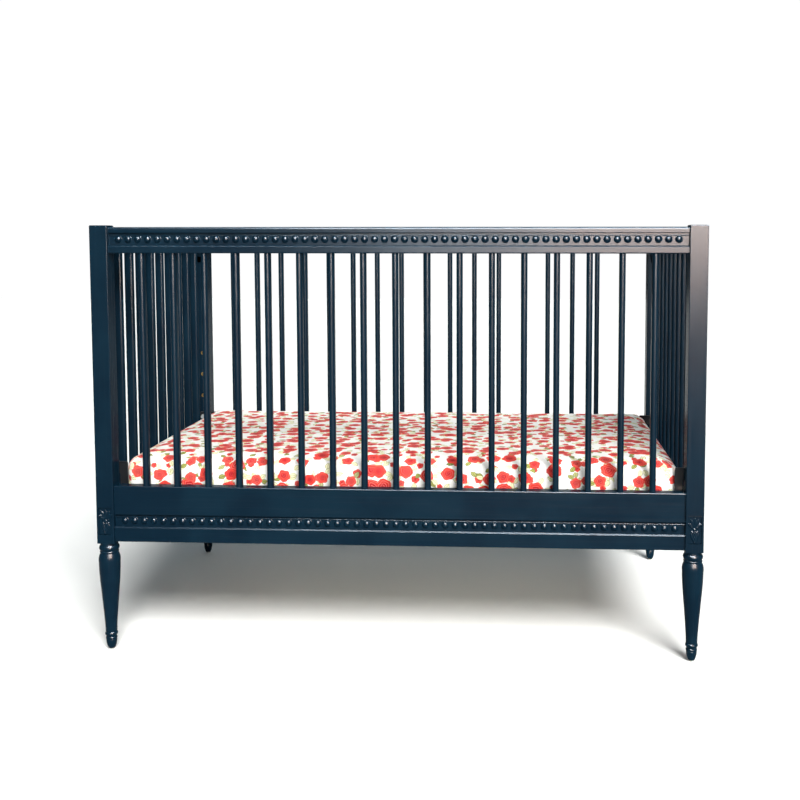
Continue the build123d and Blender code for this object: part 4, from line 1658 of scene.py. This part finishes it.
@dataclass
class Bedding:
    """The mattress and its fitted sheet. Metres."""

    plan_corner: float = 0.042
    edge: float = 0.038
    ticking_inset: float = 0.0095
    filling_inset: float = 0.0125
    start_inset: float = 0.0035
    sheet_cell: float = 0.0075
    ticking_cell: float = 0.008
    filling_cell: float = 0.006
    pressure: float = 4.0
    fill_steps: int = 20
    side_limit: float = 0.0025
    top_limit: float = 0.007
    hem: float = 0.086
    beneath: float = 0.012
    cloth_thick: float = 0.0007
    border_thick: float = 0.016
    border_inset: float = 0.0095
    border_corner_in: float = 0.012
    pocket_radius: float = 0.032
    pocket_pitch: float = 0.0865
    quilting: Flat = (0.11, 0.115)
    unevenness: float = 0.0012
    fold_rise: float = 0.0014
    crease_depth: float = 0.0008
    seam_radius: float = 0.0010
    seam_stands: float = 0.0018
    flat: Flat = (1.74, 1.12)
    low: Vector = field(default_factory=lambda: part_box("fitted_sheet")[0])
    high: Vector = field(default_factory=lambda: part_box("fitted_sheet")[1])

    def build(self) -> None:
        """Builds the inside, the ticking and the sheet, from the inside out, between low and high."""
        self.fill()
        self.sheet(self.cover())

    def slab(self, name: str, inset: float, voxel: float) -> bpy.types.Object:
        """Makes a closed slab with rounded corners and edges, in even faces.

        Args:
            name: Its name.
            inset: How far inside the sheet's space it stays, all round.
            voxel: The size of its faces.

        Returns:
            The slab as a loose object.
        """
        work = bmesh.new()
        bmesh.ops.create_cube(work, size=1.0)
        size = self.high - self.low - Vector((2 * inset,) * 3)
        middle = (self.low + self.high) / 2
        for vert in work.verts:
            vert.co = Vector((vert.co.x * size.x, vert.co.y * size.y, vert.co.z * size.z)) + middle
        upright = [e for e in work.edges if abs(e.verts[0].co.z - e.verts[1].co.z) > size.z / 2]
        bmesh.ops.bevel(
            work, geom=upright, offset=self.plan_corner - inset, segments=12, profile=0.5, affect="EDGES"
        )
        rims = [e for e in work.edges if any(abs(f.normal.z) > 0.9 for f in e.link_faces)]
        round_off = min(self.edge - inset, size.z * 0.4)
        bmesh.ops.bevel(work, geom=rims, offset=round_off, segments=8, profile=0.5, affect="EDGES")
        mesh = bpy.data.meshes.new(name)
        work.to_mesh(mesh)
        work.free()
        slab = bpy.data.objects.new(name, mesh)
        bpy.context.collection.objects.link(slab)
        remesh = slab.modifiers.new("even", "REMESH")
        remesh.mode = "VOXEL"
        remesh.voxel_size = voxel
        return self.applied(slab)

    def applied(self, piece: bpy.types.Object) -> bpy.types.Object:
        """Applies a loose object's modifiers.

        Args:
            piece: The object.

        Returns:
            The same object, with its shape made plain.
        """
        graph = bpy.context.evaluated_depsgraph_get()
        graph.update()
        plain = bpy.data.meshes.new_from_object(piece.evaluated_get(graph))
        piece.modifiers.clear()
        piece.data = plain
        return piece

    def inflate(self, piece: bpy.types.Object) -> None:
        """Fills the slab as its stuffing does, by cloth simulation, within limits of movement.

        Args:
            piece: The slab.
        """
        rest = [(v.co.copy(), v.normal.copy()) for v in piece.data.vertices]
        cloth = piece.modifiers.new("cloth", "CLOTH")
        settings = cloth.settings
        settings.quality = 4
        settings.mass = 0.4
        settings.use_pressure = True
        settings.uniform_pressure_force = self.pressure
        settings.effector_weights.gravity = 0.0
        scene = bpy.context.scene
        for step in range(1, self.fill_steps + 1):
            scene.frame_set(step)
        self.applied(piece)
        scene.frame_set(1)
        low, high = self.low, self.high
        top = high.z - self.edge
        for vert, (start, normal) in zip(piece.data.vertices, rest):
            move = vert.co - start
            move -= normal * min(0.0, move.dot(normal))
            limit = self.top_limit if start.z > top else self.side_limit
            if move.length > limit:
                move *= limit / move.length
            end = start + move
            vert.co = Vector((
                min(max(end.x, low.x), high.x), min(max(end.y, low.y), high.y), max(end.z, low.z)
            ))

    def cover(self) -> bpy.types.Object:
        """Makes the ticking: a full slab, lightly quilted above and below.

        Returns:
            The ticking.
        """
        loose = self.slab("ticking", self.ticking_inset, self.ticking_cell)
        mesh = loose.data
        bpy.data.objects.remove(loose)
        normals = [v.normal.copy() for v in mesh.vertices]
        along, across = self.quilting
        for vert, normal in zip(mesh.vertices, normals):
            quilt = 0.5 - 0.5 * cos(tau * vert.co.x / along) * cos(tau * vert.co.y / across)
            flat = smoothstep(abs(normal.z), 0.6, 0.95)
            vert.co += normal * self.unevenness * (quilt * flat + noise.noise(vert.co * 30) * 0.3)
        piece = add_piece("mattress_cover", mesh, Body.MATTRESS, TICKING, ("mattress_ticking",), 60.0)
        return piece

    def fill(self) -> None:
        """Makes the padding layers, the border and the pocketed coils inside the ticking."""
        for node in ("mattress_bottom_pad", "mattress_top_pad"):
            mesh = self.layer(node)
            normals = [v.normal.copy() for v in mesh.vertices]
            for vert, normal in zip(mesh.vertices, normals):
                vert.co += normal * self.unevenness * noise.noise(vert.co * 45)
            name = f"{node.removeprefix('mattress_')}_wadding"
            piece = add_piece(name, mesh, Body.MATTRESS, WADDING, (node,), 60.0)
        mesh = self.border(*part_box("mattress_border")).mesh("border")
        piece = add_piece("border_wadding", mesh, Body.MATTRESS, WADDING, ("mattress_border",), 60.0)
        self.pockets(*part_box("mattress_coil_pockets"))

    def layer(self, node: str) -> bpy.types.Mesh:
        """Makes one padding layer: the slice of the whole filling between its node's two heights.

        Args:
            node: The layer's CAD node.

        Returns:
            The layer's mesh.
        """
        loose = self.slab(node, self.filling_inset, self.filling_cell)
        mesh = loose.data
        bpy.data.objects.remove(loose)
        work = bmesh.new()
        work.from_mesh(mesh)
        floor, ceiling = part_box(node)
        for height, way in ((floor.z, -1.0), (ceiling.z, 1.0)):
            bmesh.ops.bisect_plane(
                work,
                geom=[*work.verts, *work.edges, *work.faces],
                plane_co=(0.0, 0.0, height),
                plane_no=(0.0, 0.0, way),
                clear_outer=True,
            )
            rim = [edge for edge in work.edges if edge.is_boundary]
            if rim:
                bmesh.ops.holes_fill(work, edges=rim, sides=0)
        work.to_mesh(mesh)
        work.free()
        return mesh

    def border(self, low: Vector, high: Vector) -> Shape:
        """Makes the firm border that runs round the coils, drawn in where the mattress's edge turns over.

        Args:
            low: Its space's lowest corner.
            high: Its highest corner.

        Returns:
            The border's shape.
        """
        straight = (self.high.z - self.low.z) / 2 - self.edge
        inset, thick = self.border_inset, self.border_thick
        half_x, half_y = high.x - inset, high.y - inset
        radius = self.plan_corner - self.border_corner_in
        middle, half_z = (low.z + high.z) / 2, (high.z - low.z) / 2 - inset
        rows = []
        for turn in (tau * k / 96 for k in range(97)):
            sx, sy = (1 if cos(turn) >= 0 else -1), (1 if sin(turn) >= 0 else -1)
            hub = Vector((sx * (half_x - radius), sy * (half_y - radius), middle))
            way = Vector((cos(turn), sin(turn), 0.0))
            row = []
            for step in range(20):
                around = tau * step / 20
                puff = abs(cos(around)) ** 0.3 * (1 if cos(around) > 0 else -1)
                lift = abs(sin(around)) ** 0.3 * (1 if sin(around) > 0 else -1)
                over = max(0.0, abs(lift) * half_z - straight)
                bend = self.edge - self.filling_inset
                drawn_in = bend - sqrt(bend**2 - over**2)
                reach = radius - thick / 2 + puff * thick / 2 - drawn_in
                row.append(hub + way * reach + Vector((0.0, 0.0, lift * half_z)))
            rows.append(row)
        shape = Shape()
        shape.grid(rows, caps=False)
        return shape

    def pockets(self, low: Vector, high: Vector) -> None:
        """Makes the cloth pockets, each full round its coil and drawn in at its ends.

        Args:
            low: The lowest corner of them all.
            high: The highest corner.
        """
        radius = self.pocket_radius
        across = round((high.x - low.x - 2 * radius) / self.pocket_pitch)
        deep = round((high.y - low.y - 2 * radius) / self.pocket_pitch)
        tall = high.z - low.z
        outline = []
        for k in range(13):
            share = k / 12
            swell = 0.93 + 0.055 * sin(pi * share) ** 0.4 - 0.25 * (abs(2 * share - 1) ** 10)
            outline.append((radius * swell, 0.001 + share * (tall - 0.002)))
        shape = Shape()
        for i in range(across + 1):
            for j in range(deep + 1):
                x = low.x + radius + (high.x - low.x - 2 * radius) * i / across
                y = low.y + radius + (high.y - low.y - 2 * radius) * j / deep
                shape.turned(outline, Matrix.Translation((x, y, low.z)), 20)
        mesh = shape.mesh("pockets")
        add_piece("coil_pocket_cloth", mesh, Body.MATTRESS, POCKET_CLOTH, ("mattress_coil_pockets",), 60.0)

    def sheet(self, ticking: bpy.types.Object) -> None:
        """Makes the fitted sheet: filled by simulation, opened beneath, puckered at its corners, and sewn.

        Args:
            ticking: What it is stretched over; not used.
        """
        loose = self.slab("sheet", self.start_inset, self.sheet_cell)
        self.inflate(loose)
        mesh = loose.data
        bpy.data.objects.remove(loose)
        self.pucker(mesh)
        self.open_beneath(mesh)
        self.unfold(mesh)
        piece = add_piece("rose_fitted_sheet", mesh, Body.MATTRESS, ROSE_COTTON, ("fitted_sheet",), 60.0)
        for kind, settings in (
            ("SUBSURF", {"levels": 1, "render_levels": 1}),
            ("SOLIDIFY", {"thickness": self.cloth_thick, "offset": -1.0}),
        ):
            modifier = piece.modifiers.new(kind.lower(), kind)
            for key, value in settings.items():
                setattr(modifier, key, value)
        seams = self.seams()

    def inner(self) -> Flat:
        """Gives the far corner of the plan's inner rectangle, from which its rounded corners turn."""
        return self.high.x - self.plan_corner, self.high.y - self.plan_corner

    def around(self, point: Vector) -> tuple[Vector, Vector]:
        """Finds the nearest point of the plan's inner rectangle, and the way out from it.

        Args:
            point: A point on the sheet.

        Returns:
            The point on the inner rectangle, and the vector out to the point, both level.
        """
        inner_x, inner_y = self.inner()
        hub = Vector((
            min(max(point.x, -inner_x), inner_x), min(max(point.y, -inner_y), inner_y), 0.0
        ))
        return hub, Vector((point.x, point.y, 0.0)) - hub

    def pucker(self, mesh: bpy.types.Mesh) -> None:
        """Adds what the cloth does where it isn't pulled flat: puckers at the corners and a soft unevenness.

        Args:
            mesh: The sheet's mesh.
        """
        inner_x, inner_y = self.inner()
        normals = [v.normal.copy() for v in mesh.vertices]
        for vert, normal in zip(mesh.vertices, normals):
            hub, out = self.around(vert.co)
            fold = 0.0
            if abs(hub.x) > inner_x - 1e-6 and abs(hub.y) > inner_y - 1e-6:
                turn = atan2(abs(out.y), abs(out.x))
                share = smoothstep(min(turn, pi / 2 - turn), 0.02, 0.5) * smoothstep(out.length, 0.01, 0.035)
                fold = self.fold_rise * share * sin(turn * 26 + 40 * vert.co.z)
            soft = self.unevenness * noise.noise(Vector((vert.co.x * 5, vert.co.y * 7, vert.co.z * 7)))
            crease = abs(noise.noise(Vector((vert.co.x * 9 + 4, vert.co.y * 22, vert.co.z * 22))))
            vert.co += normal * (fold + soft - self.crease_depth * exp(-((crease / 0.05) ** 2)))
            vert.co.z = max(vert.co.z, self.low.z + 0.0002)
            vert.co.y = min(max(vert.co.y, self.low.y), self.high.y)

    def open_beneath(self, mesh: bpy.types.Mesh) -> None:
        """Cuts away the sheet's underside beyond its hem.

        Args:
            mesh: The sheet's mesh.
        """
        work = bmesh.new()
        work.from_mesh(mesh)
        inner_x, inner_y = self.high.x - self.hem, self.high.y - self.hem
        cut_out = []
        for face in work.faces:
            middle = face.calc_center_median()
            if middle.z < self.low.z + self.beneath and abs(middle.x) < inner_x and abs(middle.y) < inner_y:
                cut_out.append(face)
        bmesh.ops.delete(work, geom=cut_out, context="FACES")
        work.to_mesh(mesh)
        work.free()

    def run_down(self, point: Vector) -> float:
        """Measures how far cloth runs from the plan's inner rectangle, over the edge and down to a point.

        Args:
            point: A point on the sheet.

        Returns:
            The length of that cloth.
        """
        _, out = self.around(point)
        flat_reach = self.plan_corner - self.edge
        beyond = out.length - flat_reach
        below = self.high.z - self.edge - point.z
        if beyond <= 0 and below < 0:
            return out.length
        if below <= 0:
            return flat_reach + self.edge * atan2(max(beyond, 0.0), -below + 1e-9)
        down = self.edge * pi / 2 + below
        inward = max(0.0, self.plan_corner - out.length - 0.012)
        return flat_reach + (down + (inward if below > 0.07 else 0.0))

    def unfold(self, mesh: bpy.types.Mesh) -> None:
        """Lays the cloth flat for its print: each point gets its place on the uncut cloth, in metres.

        Args:
            mesh: The sheet's mesh.
        """
        cloth = mesh.uv_layers.new(name="cloth")
        for face in mesh.polygons:
            _, out = self.around(face.center)
            sideways = abs(out.x) > abs(out.y)
            for loop in face.loop_indices:
                point = mesh.vertices[mesh.loops[loop].vertex_index].co
                hub, own_out = self.around(point)
                down = self.run_down(point)
                if sideways:
                    round_corner = own_out.length * atan2(abs(own_out.y), abs(own_out.x))
                    place = (hub.x + copysign(down, out.x), hub.y + copysign(round_corner, own_out.y))
                else:
                    round_corner = own_out.length * atan2(abs(own_out.x), abs(own_out.y))
                    place = (hub.x + copysign(round_corner, own_out.x), hub.y + copysign(down, out.y))
                cloth.data[loop].uv = place

    def seams(self) -> bpy.types.Object:
        """Makes the sewn seam that stands down each corner.

        Returns:
            The four seams as one piece.
        """
        shape = Shape()
        inner_x, inner_y = self.inner()
        inset = self.start_inset - self.seam_stands
        shoulder, bend = self.high.z - self.edge, self.edge - inset
        straight = self.high.z - self.low.z - 2 * self.edge
        for sx in (-1, 1):
            for sy in (-1, 1):
                way = Vector((sx, sy, 0.0)).normalized()
                hub = Vector((sx * inner_x, sy * inner_y, 0.0))
                path = []
                for turn in (pi / 2 * k / 8 for k in range(9)):
                    reach = self.plan_corner - self.edge + bend * sin(turn)
                    path.append(hub + way * reach + Vector((0.0, 0.0, shoulder + bend * cos(turn))))
                side = hub + way * (self.plan_corner - inset)
                for share in (k / 8 for k in range(1, 9)):
                    path.append(side + Vector((0.0, 0.0, shoulder - straight * share)))
                shape.tube(path, self.seam_radius, 8)
        mesh = shape.mesh("seams")
        mesh.uv_layers.new(name="cloth")
        return add_piece("sheet_corner_seams", mesh, Body.MATTRESS, ROSE_COTTON, (), 60.0)


def main() -> None:
    """Builds the crib, sub-assembly by sub-assembly, and then the studio round it."""
    logging.basicConfig(level=logging.INFO, format="%(name)s: %(message)s")
    for part in (
        PaintedFrame(),
        EndPanels(),
        TurnedLegs(),
        Beading(),
        CarvedBlocks(),
        Fasteners(),
        SprungBase(),
        Bedding(),
        Studio(),
    ):
        log.info("building %s", type(part).__name__)
        part.build()


if __name__ == "__main__":
    main()
